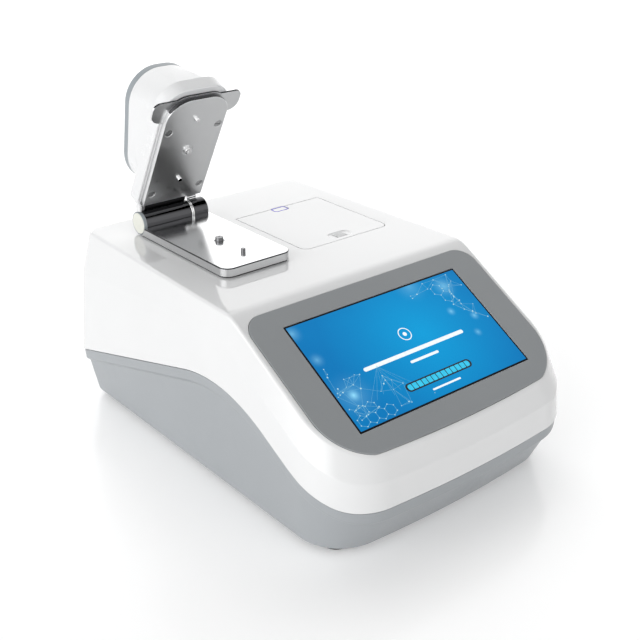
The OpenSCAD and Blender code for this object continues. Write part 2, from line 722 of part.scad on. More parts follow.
module head_ring() color("gray") {
  on_arm() on_head() difference() {
    linear_extrude(5.7) head_outline(0);
    translate([0, 0, 3]) linear_extrude(4) head_outline(2.8);
    translate([0, 0, -1]) linear_extrude(5) head_outline(5.2);
  }
}

module head_cap() color("whitesmoke") {
  on_arm() on_head() translate([0, 0, 3]) linear_extrude(3.2) head_outline(3);
}

module path_actuator() color("dimgray") {
  on_arm() translate([0, -spot_r, 0]) difference() {
    union() {
      translate([0, 0, 20]) cylinder(h = 20, r = 11);
      translate([0, 0, 18.2]) cylinder(h = 2, r = 14);
      translate([0, 0, 10.6]) cylinder(h = 8, r = 8.5);
    }
    translate([0, 0, 8]) cylinder(h = 10.6, r = 5.6);
    translate([0, 0, 8]) cylinder(h = 24, r = 2.65, $fn = 32);
  }
}

module head_board() color("darkgreen") {
  on_arm() {
    translate([-17, -50, 24]) cube([34, 22, 1.6]);
    translate([-6, -46, 25.6]) cube([10, 10, 1.2]);
    for (x = [-15, 11]) translate([x, -44, 10.5]) cube([4, 4, 13.5]);
  }
}

// ---------------------------------------------------------------- sliding measuring head
module upper_pedestal() color("silver") {
  on_arm() translate([0, -spot_r, 0]) difference() {
    union() {
      translate([0, 0, face_d - tip_h]) cylinder(h = 4, r = 2.9);
      translate([0, 0, face_d + 0.9]) cylinder(h = 6, r = 3);
      translate([0, 0, 7.2]) cylinder(h = 2, r = 5);
      translate([0, 0, 9]) cylinder(h = 15, r = 2.3, $fn = 32);
    }
    translate([0, 0, -2]) cylinder(h = 12, r = 0.5, $fn = 32);
  }
}

upper_shell();
base_tray();
feet();
foot_screws();
front_panel();
touch_glass();
lcd_module();
lcd_bracket();
base_plate();
plate_gasket();
plate_screws();
base_knuckle();
hinge_shaft();
hinge_rings();
stop_pin();
lower_pedestal();
locating_post();
optics_block();
lamp_module();
spectrometer();
optic_fibre();
lid();
lid_pins();
latch_window();
latch_button();
lid_frame();
cuvette_holder();
cuvette_source();
cuvette_detector();
main_board();
board_posts();
io_board();
rear_panel();
dc_inlet();
usb_host();
usb_device();
lan_port();
switch_frame();
rocker();
arm_knuckle();
cap_ring();
end_cap();
arm_plate();
arm_screws();
arm_pins();
wing_plate();
arm_rim();
head_shell();
head_ring();
head_cap();
path_actuator();
head_board();
upper_pedestal();
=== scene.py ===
"""Looks of the benchtop micro-volume spectrophotometer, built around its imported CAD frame.

Metres, +Z up, front towards -Y. Shapes are written in millimetres and scaled once, in as_mesh().
"""

import math
import random

import bmesh
import bpy
from mathutils import Matrix, Vector


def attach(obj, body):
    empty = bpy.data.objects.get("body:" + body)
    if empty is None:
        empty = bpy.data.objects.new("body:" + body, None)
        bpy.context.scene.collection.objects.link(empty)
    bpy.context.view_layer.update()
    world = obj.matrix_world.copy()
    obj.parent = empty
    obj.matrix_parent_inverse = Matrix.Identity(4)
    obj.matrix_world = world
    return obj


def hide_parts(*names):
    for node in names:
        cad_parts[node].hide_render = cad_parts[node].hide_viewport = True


MM = 0.001
SQUARE_ON = 0.9998  # cosine above which a face counts as square to a direction
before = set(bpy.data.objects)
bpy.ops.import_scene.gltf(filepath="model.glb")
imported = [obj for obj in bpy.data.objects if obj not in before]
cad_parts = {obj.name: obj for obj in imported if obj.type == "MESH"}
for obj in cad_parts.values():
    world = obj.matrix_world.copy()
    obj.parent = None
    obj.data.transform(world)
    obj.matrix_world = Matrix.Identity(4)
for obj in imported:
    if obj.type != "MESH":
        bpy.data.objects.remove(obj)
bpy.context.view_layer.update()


# ------------------------------------------------------------ driving sizes, mm
# body
BODY_W, BODY_D, TOP_Z, FOOT_H = 233.0, 320.0, 140.0, 4.0
SHELL_T, TRAY_T, REAR_R, FRONT_R, BOW_R = 3.0, 3.0, 8.0, 45.0, 900.0
HALF_W, Y_BACK, Y_FRONT = BODY_W / 2, BODY_D / 2, -BODY_D / 2
# screen
SCREEN_TILT, SCREEN_Y, SCREEN_Z = math.radians(30), -94.7, 107.15
LCD_W, LCD_H, BEZEL_HW, BEZEL_T, BEZEL_BOW = 154.2, 85.9, 103.0, 1.8, 1150.0
# arm and measuring station; HW is a half width, R a radius or a distance from the hinge
ARM_X, HINGE_Y, HINGE_Z, BARREL_R = -46.5, 124.0, 149.3, 8.7
ARM_OPEN = math.radians(61)
PLATE_TOP, PLATE_HW, ARM_HW, SPOT_R, POST_R = 147.5, 29.7, 26.0, 64.6, 94.1
PLATE_GAP, PATH_LEN, PEDESTAL_H = 5.4, 0.5, 2.9
# depths of the arm's layers, from the hinge axis
FACE_D = PLATE_TOP + PLATE_GAP - HINGE_Z
FACE_BACK, WING_BACK, SLAB_BACK = 6.9, 8.5, 19.0
SHORT_PIN_R, TIP_ROOM = 36, 6.2
TIP_H = PLATE_GAP - PATH_LEN - PEDESTAL_H
# cuvette lid
LID_X0, LID_X1, LID_Y0, LID_Y1, LID_T = 1.3, 84.2, 19.3, 105.9, 2.2
LID_CX, LID_PIN_Y, LID_PIN_Z = (LID_X0 + LID_X1) / 2, LID_Y1 - 2.95, TOP_Z - 1.5
GRIP_Y = LID_Y0 + 9.3
# rear panel, sockets and feet
REAR_W, REAR_H, REAR_Z = 150.0, 40.0, 82.0
PORT_Y, SOCKET_Z, USB_X, LAN_X = Y_BACK - 3, 66, -46, -4
FEET_XY = [(x, y) for x in (-85, 85) for y in (-118, 138)]

# side walls and screen face; T counts from the back
FLARE = math.tan(math.radians(5.5))
SLOPE = math.tan(SCREEN_TILT)
PART_BACK_Z = 43.3
TOP_HW_WALL = HALF_W - (TOP_Z - PART_BACK_Z) * FLARE
BEND_T = Y_BACK - SCREEN_Y - (TOP_Z - SCREEN_Z) / SLOPE

# rear face of the measuring head
HEAD_Y, HEAD_W, HEAD_TILT, RING_T = -58.3, 39.5, math.radians(-18.1), 5.7


# ------------------------------------------------------------ placing
def place(x=0.0, y=0.0, z=0.0, rx=0.0, ry=0.0, rz=0.0):
    turn = Matrix.Rotation(rz, 4, "Z") @ Matrix.Rotation(ry, 4, "Y") @ Matrix.Rotation(rx, 4, "X")
    return Matrix.Translation((x, y, z)) @ turn


AT_ZERO = Matrix.Identity(4)
ON_SCREEN = place(0, SCREEN_Y, SCREEN_Z, rx=SCREEN_TILT)
ON_ARM = place(ARM_X, HINGE_Y, HINGE_Z, rx=-ARM_OPEN)
ON_STATION = place(ARM_X, HINGE_Y, 0)
ALONG_X = place(ry=math.pi / 2)
ON_HEAD = ON_ARM @ place(0, HEAD_Y, HEAD_W, rx=HEAD_TILT)
UP = Vector((0, 0, 1))
ARM_UP = ON_ARM.to_3x3() @ UP
ARM_END = ON_ARM.to_3x3() @ Vector((0, -1, 0))


# ------------------------------------------------------------ mesh helpers
def linked(name, data):
    """A new object in the scene."""
    obj = bpy.data.objects.new(name, data)
    bpy.context.scene.collection.objects.link(obj)
    return obj


def as_mesh(name, points, faces, at=AT_ZERO):
    """An object from points in millimetres, with its faces turned outwards."""
    mesh = bpy.data.meshes.new(name)
    mesh.from_pydata([(at @ Vector(p)) * MM for p in points], [], faces)
    mesh.update()
    bm = bmesh.new()
    bm.from_mesh(mesh)
    bmesh.ops.remove_doubles(bm, verts=bm.verts, dist=1e-7)
    bmesh.ops.recalc_face_normals(bm, faces=bm.faces)
    bm.to_mesh(mesh)
    bm.free()
    return linked(name, mesh)


def bands(loops):
    """Quads between neighbouring loops of equal length, with points numbered loop after loop."""
    n = len(loops[0])
    return [(j * n + i, j * n + (i + 1) % n, (j + 1) * n + (i + 1) % n, (j + 1) * n + i)
            for j in range(len(loops) - 1) for i in range(n)]


def skin(name, loops, at=AT_ZERO, closed=True):
    """A solid through closed loops of equal length; the ends are flat caps."""
    n = len(loops[0])
    faces = bands(loops)
    if closed:
        last = (len(loops) - 1) * n
        faces += [tuple(reversed(range(n))), tuple(range(last, last + n))]
    return as_mesh(name, [p for loop in loops for p in loop], faces, at)


def rounded(path, sizes, steps=4):
    """The polyline path with each inner corner rounded over its size on both sides."""
    path = [Vector(p) for p in path]
    out = [path[0]]
    for k in range(1, len(path) - 1):
        before, corner, after = path[k - 1], path[k], path[k + 1]
        size = sizes[k - 1] if isinstance(sizes, (list, tuple)) else sizes
        if size <= 0:
            out.append(corner)
            continue
        start = corner + (before - corner).normalized() * min(size, (before - corner).length * 0.49)
        end = corner + (after - corner).normalized() * min(size, (after - corner).length * 0.49)
        for s in range(steps + 1):
            t = s / steps
            out.append(start * (1 - t) ** 2 + corner * 2 * t * (1 - t) + end * t * t)
    return out + [path[-1]]


def spun(p, i, segments):
    """The profile's point p after i of segments steps about z."""
    a = 2 * math.pi * i / segments
    return p.x * math.cos(a), p.x * math.sin(a), p.z


def lathe(name, profile, at=AT_ZERO, size=0.3, segments=64):
    """A turned solid. profile is (radius, height) from axis to axis, its corners rounded over size."""
    profile = rounded([(r, 0, h) for r, h in profile], size, 3)
    return skin(name, [[spun(p, i, segments) for i in range(segments)] for p in profile if p.x > 1e-6], at)


def rod(name, r, low, high, at=AT_ZERO, size=0.3, segments=64):
    """A plain cylinder from low to high."""
    return lathe(name, [(0, low), (r, low), (r, high), (0, high)], at, size, segments)


def tube(name, profile, at=AT_ZERO, size=0.3, segments=64):
    """A turned ring. profile is a closed list of (radius, height) off the axis."""
    closed = [(r, 0, h) for r, h in profile]
    closed = rounded(closed[-1:] + closed + closed[:1], size, 3)[1:-1]
    loops = [[spun(p, i, segments) for p in closed] for i in range(segments)]
    return skin(name, loops + loops[:1], at, closed=False)


def arc(cx, cy, r, start, stop, steps):
    turns = [math.radians(start + (stop - start) * i / steps) for i in range(steps + 1)]
    return [(cx + r * math.cos(a), cy + r * math.sin(a)) for a in turns]


def round_rect(hw, y0, y1, r0, r1, steps=12):
    """Outline centred in x, with corner radius r0 at y0 and r1 at y1, as a function of its inset."""
    def outline(g=0.0):
        a, b = max(r0 - g, 0.05), max(r1 - g, 0.05)
        w, low, high = hw - g, y0 + g, y1 - g
        return (arc(w - a, low + a, a, -90, 0, steps) + arc(w - b, high - b, b, 0, 90, steps)
                + arc(-w + b, high - b, b, 90, 180, steps) + arc(-w + a, low + a, a, 180, 270, steps))
    return outline


def mirrored(outline):
    return lambda g=0.0: [(x, -y) for x, y in reversed(outline(g))]


def moved(outline, dx, dy):
    return lambda g=0.0: [(x + dx, y + dy) for x, y in outline(g)]


def disc(r, steps=64):
    return lambda g=0.0: arc(0, 0, r - g, 0, 360 - 360 / steps, steps - 1)


def prism(name, outline, z0, z1, at=AT_ZERO, low=0.0, high=0.0, steps=4):
    """outline from z0 to z1, with its lower and upper edges rounded over low and high."""
    def quarter(size, k):
        turn = math.pi / 2 * k / steps
        return size * (1 - math.sin(turn)), size * (1 - math.cos(turn))
    rings = []
    if low > 0:
        rings += [(quarter(low, k)[0], z0 + quarter(low, k)[1]) for k in range(steps + 1)]
    else:
        rings.append((0.0, z0))
    if high > 0:
        rings += [(quarter(high, k)[0], z1 - quarter(high, k)[1]) for k in reversed(range(steps + 1))]
    else:
        rings.append((0.0, z1))
    return skin(name, [[(x, y, z) for x, y in outline(g)] for g, z in rings], at)


def mouth(name, outline, z0, z1, at=AT_ZERO, lip=0.4, over=0.5):
    """A cutter whose upper rim flares out over lip, so that the cut has a softened edge at z1."""
    rings = [(0.0, z0), (0.0, z1 - lip)]
    rings += [(-lip * (1 - math.cos(math.pi / 2 * k / 3)), z1 - lip * (1 - math.sin(math.pi / 2 * k / 3)))
              for k in (1, 2, 3)]
    rings.append((rings[-1][0], z1 + over))
    return skin(name, [[(x, y, z) for x, y in outline(g)] for g, z in rings], at)


def boolean(obj, others, operation="DIFFERENCE"):
    """Combines obj with each of others in turn, and removes them."""
    for other in others:
        step = obj.modifiers.new("step", "BOOLEAN")
        step.operation, step.object, step.solver = operation, other, "EXACT"
        bpy.context.view_layer.update()
        result = bpy.data.meshes.new_from_object(obj.evaluated_get(bpy.context.evaluated_depsgraph_get()))
        obj.modifiers.clear()
        old, obj.data = obj.data, result
        result.name = obj.name
        bpy.data.meshes.remove(old)
        bpy.data.objects.remove(other)
    return obj


def joined(name, objs):
    """One object out of several separate solids."""
    bm = bmesh.new()
    for o in objs:
        bm.from_mesh(o.data)
        bpy.data.objects.remove(o)
    mesh = bpy.data.meshes.new(name)
    bm.to_mesh(mesh)
    bm.free()
    return linked(name, mesh)


def smooth(obj, angle=35, flat=None):
    """Smooth shading with sharp edges; faces square to the flat direction keep their own normal."""
    for polygon in obj.data.polygons:
        polygon.use_smooth = flat is None or abs(polygon.normal.dot(flat)) < SQUARE_ON
    obj.data.set_sharp_from_angle(angle=math.radians(angle))
    weighted = obj.modifiers.new("weighted", "WEIGHTED_NORMAL")
    weighted.keep_sharp = True
    weighted.weight = 80


def piece(obj, body, material, slot, *nodes, angle=35, flat=None):
    obj.data.materials.clear()
    obj.data.materials.append(material)
    smooth(obj, angle, flat)
    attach(obj, body)
    if nodes:
        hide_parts(*nodes)
    return obj


# ------------------------------------------------------------ materials
class Nodes:
    """A node tree, built by name."""

    def __init__(self, tree):
        self.tree = tree

    def add(self, kind, inputs=None, **settings):
        """A new node; each of inputs is a socket to link from or a plain value."""
        node = self.tree.nodes.new(kind)
        for key, value in settings.items():
            setattr(node, key, value)
        for key, value in (inputs or {}).items():
            if isinstance(value, bpy.types.NodeSocket):
                self.tree.links.new(value, node.inputs[key])
            else:
                node.inputs[key].default_value = value
        return node


class Graph(Nodes):
    """A material's node tree."""

    def __init__(self, name):
        self.material = bpy.data.materials.new(name)
        self.material.use_nodes = True
        super().__init__(self.material.node_tree)
        self.shader = self.tree.nodes["Principled BSDF"]
        self.place = self.add("ShaderNodeTexCoord").outputs["Object"]

    def noise(self, scale, detail=2.0, stretch=None, roughness=0.5):
        vector = self.place
        if stretch:
            vector = self.add("ShaderNodeMapping", {"Vector": vector, "Scale": stretch}).outputs[0]
        found = {"Vector": vector, "Scale": scale, "Detail": detail, "Roughness": roughness}
        return self.add("ShaderNodeTexNoise", found).outputs["Fac"]

    def spread(self, value, low, high, to_low, to_high):
        found = {"Value": value, "From Min": low, "From Max": high, "To Min": to_low, "To Max": to_high}
        return self.add("ShaderNodeMapRange", found).outputs[0]

    def math(self, operation, a, b=0.0):
        return self.add("ShaderNodeMath", {0: a, 1: b}, operation=operation).outputs[0]

    def mix(self, factor, a, b):
        return self.add("ShaderNodeMix", {0: factor, 6: a, 7: b}, data_type="RGBA").outputs[2]

    def edges(self, radius):
        """1 on convex and concave edges narrower than radius, 0 on open faces."""
        soft = self.add("ShaderNodeBevel", {"Radius": radius}, samples=4).outputs[0]
        plain = self.add("ShaderNodeNewGeometry").outputs["Normal"]
        dot = self.add("ShaderNodeVectorMath", {0: soft, 1: plain}, operation="DOT_PRODUCT").outputs["Value"]
        return self.spread(dot, 0.98, 0.75, 0.0, 1.0)

    def wire(self, socket, value):
        self.tree.links.new(value, self.shader.inputs[socket])

    def bump(self, height, strength, distance):
        found = {"Height": height, "Strength": strength, "Distance": distance}
        self.wire("Normal", self.add("ShaderNodeBump", found).outputs[0])

    def fixed(self, **values):
        for key, value in values.items():
            self.shader.inputs[key.replace("_", " ")].default_value = value


def tone(color, factor):
    return tuple(min(1.0, c * factor) for c in color[:3]) + (1.0,)


def plastic(name, color, roughness, grain_scale, grain, mottle=0.03, coat=0.0, edge=0.25):
    """Moulded plastic: cloudy tint, fine mould grain, a few dull rubbed patches, and a painted highlight that lightens
    edges and creases.
    """
    g = Graph(name)
    cloud = g.noise(9.0, 4.0)
    speck = g.noise(grain_scale, 3.0)
    rubbed = g.spread(g.noise(22.0, 5.0, roughness=0.65), 0.52, 0.75, 0.0, 1.0)
    base = g.mix(g.spread(cloud, 0.3, 0.7, 0.0, 1.0), tone(color, 1 - mottle), tone(color, 1 + mottle))
    # painted highlight: edges and creases are lightened towards 1.12 times the colour, by the amount edge
    if edge > 0:
        base = g.mix(g.math("MULTIPLY", g.edges(0.0008), edge), base, tone(color, 1.12))
    g.wire("Base Color", base)
    rough = g.spread(speck, 0.3, 0.7, roughness * 0.85, roughness * 1.15)
    g.wire("Roughness", g.math("ADD", rough, g.math("MULTIPLY", rubbed, roughness * 0.35)))
    g.bump(speck, grain, 0.00006)
    g.fixed(IOR=1.5, Coat_Weight=coat, Coat_Roughness=0.03)
    return g.material


def metal(name, color, roughness, hairline=0.15, mottle=0.04, stretch=(1, 60, 60), edge=0.3, grain=0.05):
    """Metal with hairlines along one axis, cloudy sheen, faint smudges, and a painted highlight that brightens edges
    and creases.
    """
    g = Graph(name)
    lines = g.noise(55.0, 3.0, stretch)
    cloud = g.noise(16.0, 4.0)
    smudge = g.spread(g.noise(38.0, 5.0, roughness=0.7), 0.55, 0.8, 0.0, 1.0)
    base = g.mix(g.spread(cloud, 0.3, 0.7, 0.0, 1.0), tone(color, 1 - mottle), tone(color, 1 + mottle))
    # painted highlight: edges and creases are brightened towards 1.25 times the colour, by the amount edge
    if edge > 0:
        base = g.mix(g.math("MULTIPLY", g.edges(0.0005), edge), base, tone(color, 1.25))
    g.wire("Base Color", base)
    rough = g.spread(lines, 0.3, 0.7, roughness * (1 - hairline), roughness * (1 + hairline))
    g.wire("Roughness", g.math("ADD", rough, g.math("MULTIPLY", smudge, roughness * 0.5)))
    g.bump(lines, grain, 0.00002)
    g.fixed(Metallic=1.0)
    return g.material


def rubber(name, color):
    g = Graph(name)
    speck = g.noise(1400.0, 4.0)
    dust = g.spread(g.noise(120.0, 5.0), 0.5, 0.8, 0.0, 0.5)
    g.wire("Base Color", g.mix(dust, tone(color, 1.0), tone(color, 2.2)))
    g.wire("Roughness", g.spread(speck, 0.3, 0.7, 0.62, 0.86))
    g.bump(speck, 0.5, 0.0001)
    g.fixed(IOR=1.45)
    return g.material


def circuit(name):
    """Solder-masked board: traces from stretched noise, with speckle."""
    g = Graph(name)
    traces = g.spread(g.noise(210.0, 1.0, (1, 6, 1)), 0.5, 0.53, 0.0, 1.0)
    g.wire("Base Color", g.mix(traces, (0.008, 0.085, 0.03, 1), (0.02, 0.17, 0.06, 1)))
    speck = g.noise(900.0, 2.0)
    g.wire("Roughness", g.spread(speck, 0.3, 0.7, 0.3, 0.45))
    g.bump(traces, 0.4, 0.00006)
    g.fixed(IOR=1.5)
    return g.material


def glowing(name, color, strength):
    """A lit display element under glass."""
    g = Graph(name)
    speck = g.spread(g.noise(420.0, 3.0), 0.3, 0.7, 0.0, 1.0)
    lit = g.mix(speck, tone(color, 0.92), tone(color, 1.06))
    g.wire("Emission Color", lit)
    g.wire("Base Color", g.mix(speck, tone(color, 0.1), tone(color, 0.14)))
    g.wire("Roughness", g.spread(speck, 0.0, 1.0, 0.1, 0.16))
    g.fixed(Emission_Strength=strength)
    return g.material


# glow spots on the display: share of width, share of height from the lower edge, radius in mm, strength
GLOWS = [(0.08, 0.285, 6.0, 1.0), (0.08, 0.285, 21.0, 0.27), (0.82, 0.64, 4.6, 0.62), (0.92, 0.53, 4.8, 0.62),
         (0.87, 0.38, 4.4, 0.5), (0.885, 0.88, 12.0, 0.5), (0.035, 0.66, 7.0, 0.4), (0.01, 0.94, 9.0, 0.45),
         (0.71, 0.99, 16.0, 0.28)]


def display(name):
    """The lit panel: deep to bright blue with soft round glows, behind gloss glass."""
    g = Graph(name)
    found = {"Vector": g.place, "Location": (0, SCREEN_Y * MM, SCREEN_Z * MM), "Rotation": (SCREEN_TILT, 0, 0)}
    local = g.add("ShaderNodeMapping", found, vector_type="TEXTURE").outputs[0]
    across, up, _ = g.add("ShaderNodeSeparateXYZ", {0: local}).outputs

    def distance(u, v, radius):
        centre = ((u - 0.5) * LCD_W * MM, (v - 0.5) * LCD_H * MM, 0)
        far = g.add("ShaderNodeVectorMath", {0: local, 1: centre}, operation="DISTANCE").outputs["Value"]
        return g.math("DIVIDE", far, radius * MM)

    middle = g.spread(distance(0.6, 0.55, 78.0), 0.0, 1.0, 1.0, 0.0)
    ground = g.mix(middle, (0.0, 0.16, 0.44, 1), (0.0, 0.32, 0.66, 1))
    haze = g.spread(g.noise(14.0, 3.0), 0.35, 0.7, 0.0, 0.12)
    ground = g.mix(haze, ground, (0.0, 0.4, 0.78, 1))
    for u, v, radius, strength in GLOWS:
        ring = g.math("POWER", g.spread(distance(u, v, radius), 0.0, 1.0, 1.0, 0.0), 2.0)
        ground = g.mix(g.math("MULTIPLY", ring, strength), ground, (0.3, 0.74, 0.98, 1))

    def inside(value, half):
        return g.math("LESS_THAN", g.math("ABSOLUTE", value), half * MM)

    lit = g.math("MULTIPLY", inside(across, LCD_W / 2), inside(up, LCD_H / 2))
    dots = g.spread(g.noise(2600.0, 1.0), 0.35, 0.65, 0.97, 1.03)
    g.wire("Emission Color", ground)
    g.wire("Emission Strength", g.math("MULTIPLY", lit, dots))
    g.wire("Base Color", g.mix(lit, (0.012, 0.013, 0.015, 1), (0.01, 0.03, 0.06, 1)))
    g.wire("Roughness", g.spread(g.noise(60.0, 4.0), 0.3, 0.7, 0.05, 0.1))
    g.fixed(IOR=1.17)
    return g.material


# edge=0.9 on the shell paints strong highlight lines along its creases and edges
WHITE = plastic("white_gloss", (0.67, 0.674, 0.677), 0.06, 1500.0, 0.03, mottle=0.012, coat=0.35, edge=0.9)
LID_WHITE = plastic("lid_gloss", (0.67, 0.674, 0.677), 0.06, 1500.0, 0.03, mottle=0.012, coat=0.35, edge=0.3)
HEAD_WHITE = plastic("head_white", (0.67, 0.675, 0.68), 0.24, 1500.0, 0.06, mottle=0.012, coat=0.1, edge=0.3)
GREY_TRAY = plastic("tray_plastic", (0.305, 0.322, 0.337), 0.38, 1300.0, 0.22, mottle=0.03, edge=0.3)
GREY_PANEL = plastic("panel_plastic", (0.262, 0.275, 0.284), 0.36, 1700.0, 0.16, mottle=0.025, edge=0.35)
RING_GREY = plastic("ring_plastic", (0.255, 0.282, 0.3), 0.4, 1500.0, 0.12, mottle=0.03, edge=0.3)
BLACK = plastic("black_plastic", (0.018, 0.018, 0.02), 0.42, 1500.0, 0.35, mottle=0.2, edge=0.5)
FRAME = plastic("frame_plastic", (0.42, 0.43, 0.44), 0.45, 1200.0, 0.3, mottle=0.05)
IVORY = plastic("cap_ivory", (0.68, 0.685, 0.62), 0.22, 900.0, 0.08, mottle=0.02, coat=0.3, edge=0.25)
VIOLET = plastic("violet_rim", (0.085, 0.06, 0.62), 0.22, 900.0, 0.08, mottle=0.08, coat=0.3)
ORANGE = plastic("fibre_jacket", (0.75, 0.2, 0.02), 0.4, 1600.0, 0.2, mottle=0.06)
STEEL = metal("polished_steel", (0.66, 0.665, 0.67), 0.08, hairline=0.35)
PLATE_STEEL = metal("plate_steel", (0.67, 0.675, 0.68), 0.17, hairline=0.1, mottle=0.015, grain=0.02)
ARM_STEEL = metal("arm_steel", (0.78, 0.785, 0.79), 0.32, hairline=0.06, mottle=0.015, grain=0.02)
# pin steel far darker than bare steel: a painted reflection of dark surroundings on the pins' sides
PIN_STEEL_PAINTED_DARK = metal("pin_steel_painted_dark", (0.17, 0.17, 0.175), 0.1, hairline=0.2)
SCREW_STEEL = metal("screw_steel", (0.46, 0.463, 0.467), 0.28, hairline=0.2)
# dark steel of the hinge knuckles, also laid on plate edges as a painted reflection of dark surroundings
DARK_STEEL_AND_EDGE_REFLECTION = metal("dark_barrel_and_edge_reflection", (0.078, 0.078, 0.082), 0.13, hairline=0.4, stretch=(60, 1, 1), edge=0.35)
BRIGHT = metal("bright_rings", (0.9, 0.9, 0.9), 0.12, stretch=(60, 1, 1))
ALUMINIUM = metal("bare_aluminium", (0.6, 0.61, 0.62), 0.32, hairline=0.4, stretch=(3, 40, 40), grain=0.2)
BRASS = metal("lamp_brass", (0.55, 0.38, 0.14), 0.28, hairline=0.3, stretch=(50, 3, 3), grain=0.15)
ANODISED = metal("anodised_black", (0.035, 0.036, 0.04), 0.42, hairline=0.25, stretch=(4, 30, 4), grain=0.3)
GOLD = metal("contact_gold", (0.75, 0.52, 0.2), 0.22, hairline=0.2)
RUBBER = rubber("foot_rubber", (0.02, 0.02, 0.022))
BOARD = circuit("board_mask")
DISPLAY = display("display_panel")
UI_PALE = glowing("display_pale", (0.55, 0.87, 1.0), 0.75)
UI_LINE = glowing("display_line", (0.22, 0.62, 0.92), 0.62)
UI_WHITE = glowing("display_white", (0.9, 0.96, 1.0), 0.95)
UI_CYAN = glowing("display_cyan", (0.05, 0.62, 0.92), 0.85)
UI_DARK = plastic("display_dark", (0.03, 0.035, 0.045), 0.2, 900.0, 0.05, mottle=0.1, edge=0.0)


# ------------------------------------------------------------ body outline
BETWEEN_BENDS = 290  # the side lines bend once before and once after this distance from the back


def bent(t, at, height, before, after, blend):
    """Height at distance t from the back, of a line that turns from one slope to another over 2 * blend."""
    if t < at - blend:
        return height + before * (t - at)
    if t > at + blend:
        return height + after * (t - at)
    return height + before * (t - at) + (after - before) * (t - at + blend) ** 2 / (4 * blend)


def bent_twice(t, first, second, slopes):
    """first and second are each a bend's place, its drop below the top and half its length."""
    at, drop, blend = first if t < BETWEEN_BENDS else second
    before, after = slopes[:2] if t < BETWEEN_BENDS else slopes[1:]
    return bent(t, at, TOP_Z - drop, before, after, blend)


def z_top(t):
    return bent(t, BEND_T, TOP_Z, 0.0, -SLOPE, 6.6)


def z_crease(t):
    return bent_twice(t, (181.4, 16.3, 9), (312.2, 80.4, 10), (0.0833, -0.49, 0.0))


def z_part(t):
    return bent_twice(t, (192.8, 44.8, 46), (308.2, 98.6, 10), (0.2694, -0.466, 0.0))


def wall_hw(z):
    return TOP_HW_WALL + (TOP_Z - z) * FLARE


# level 0 top edge, 1 crease, 2 parting line, 3 band, 4 step, 5 tray bottom
TRAY_BOTTOM = 5
LEVEL_DROP = (0, 0, 0, 8.8, 11.3)  # below the parting line
LEVEL_IN = (0, 0, 0, 1.6, 4.6)  # inside the wall's half width
LEVEL_FRONT = (9.4, 1.8, 0.0, 1.2, 4.0, 18.0)  # behind the foremost line
LEVEL_CORNER = (-5, -2, 0, -1, -3, -11)  # front corner radius over FRONT_R


def level_z(k, t):
    if k < 2:
        return (z_top, z_crease)[k](t)
    return FOOT_H if k == TRAY_BOTTOM else z_part(t) - LEVEL_DROP[k]


def level_hw(k, t):
    if k == 0:
        return min(HALF_W - 9.5, HALF_W - 15.5 + 0.0323 * t)
    if k == TRAY_BOTTOM:
        return HALF_W - 11
    return wall_hw(z_crease(t) if k == 1 else z_part(t)) - LEVEL_IN[k]


CORNER_Y = -105  # where the front corners' width is taken
# where the side lines are sampled, from back to front
STATIONS = [142 - 4 * i for i in range(27)] + [36 - 1.5 * i for i in range(50)] + [-40 - 5 * i for i in range(14)]


def contour(k, inset=0.0, lift=0.0):
    """The body's closed outline at one level, from the left rear corner round the front to the right."""
    rear = level_hw(k, REAR_R) - inset
    at_corner = level_hw(k, Y_BACK - CORNER_Y) - inset
    radius = FRONT_R + LEVEL_CORNER[k] - inset
    front = Y_FRONT + LEVEL_FRONT[k] + inset
    cx = radius - at_corner
    cy = front + cx * cx / (2 * BOW_R) + radius
    half = arc(REAR_R - rear, Y_BACK - inset - REAR_R, REAR_R, 90, 180, 8)
    half += [(inset - level_hw(k, Y_BACK - y), y) for y in STATIONS]
    half += arc(cx, cy, radius, 180, 266, 28)
    bow = [cx * 0.95 * i / 14 for i in range(14, -1, -1)]
    half += [(x, front + x ** 2 / (2 * BOW_R)) for x in bow]
    half = [(x, y, level_z(k, Y_BACK - y) + lift) for x, y in half]
    return half + [(-x, y, z) for x, y, z in reversed(half[:-1])]


def body_solid(name, corners, sizes=None):
    """A solid through body contours. corners is a list of (level, inset, lift); inner ones are rounded by sizes."""
    loops = [contour(*c) for c in corners]
    if sizes:
        columns = [rounded([loop[i] for loop in loops], sizes) for i in range(len(loops[0]))]
        loops = [[column[j] for column in columns] for j in range(len(columns[0]))]
    n = len(loops[0])
    half = (n - 1) // 2
    cap = [(i, i + 1, n - 2 - i, n - 1 - i) for i in range(half - 1)] + [(half - 1, half, half + 1)]
    last = (len(loops) - 1) * n
    faces = bands(loops) + cap + [tuple(last + i for i in reversed(f)) for f in cap]
    return as_mesh(name, [p for loop in loops for p in loop], faces)


# ------------------------------------------------------------ outlines that several pieces share
def bezel_outline(g=0.0):
    """Grey surround, bowed along its lower edge."""
    bow, reach = BEZEL_BOW - g, 63.0
    side = round_rect(BEZEL_HW, -reach, 59, 40, 15, 20)(g)
    low = [(x * (BEZEL_HW - 40) / 30, -reach + g) for x in range(-29, 30)]
    return [(x, max(y, BEZEL_BOW - reach - math.sqrt(bow * bow - x * x))) for x, y in side + low]


def plate_outline():
    return round_rect(PLATE_HW, 10 - HINGE_Y, -4, 8, 0.6)


def arm_outline():
    return mirrored(round_rect(ARM_HW, 13, 112.5, 0.8, 18, 20))


def screen_window(grow):
    return round_rect(LCD_W / 2 + grow, -LCD_H / 2 - grow, LCD_H / 2 + grow, 0.6, 0.6, 3)


def slot_outline(width, height):
    """Upright slot with round ends."""
    r = width / 2
    return round_rect(r, -height / 2, height / 2, r - 0.01, r - 0.01, 6)


FACING_BACK = place(rx=-math.pi / 2)


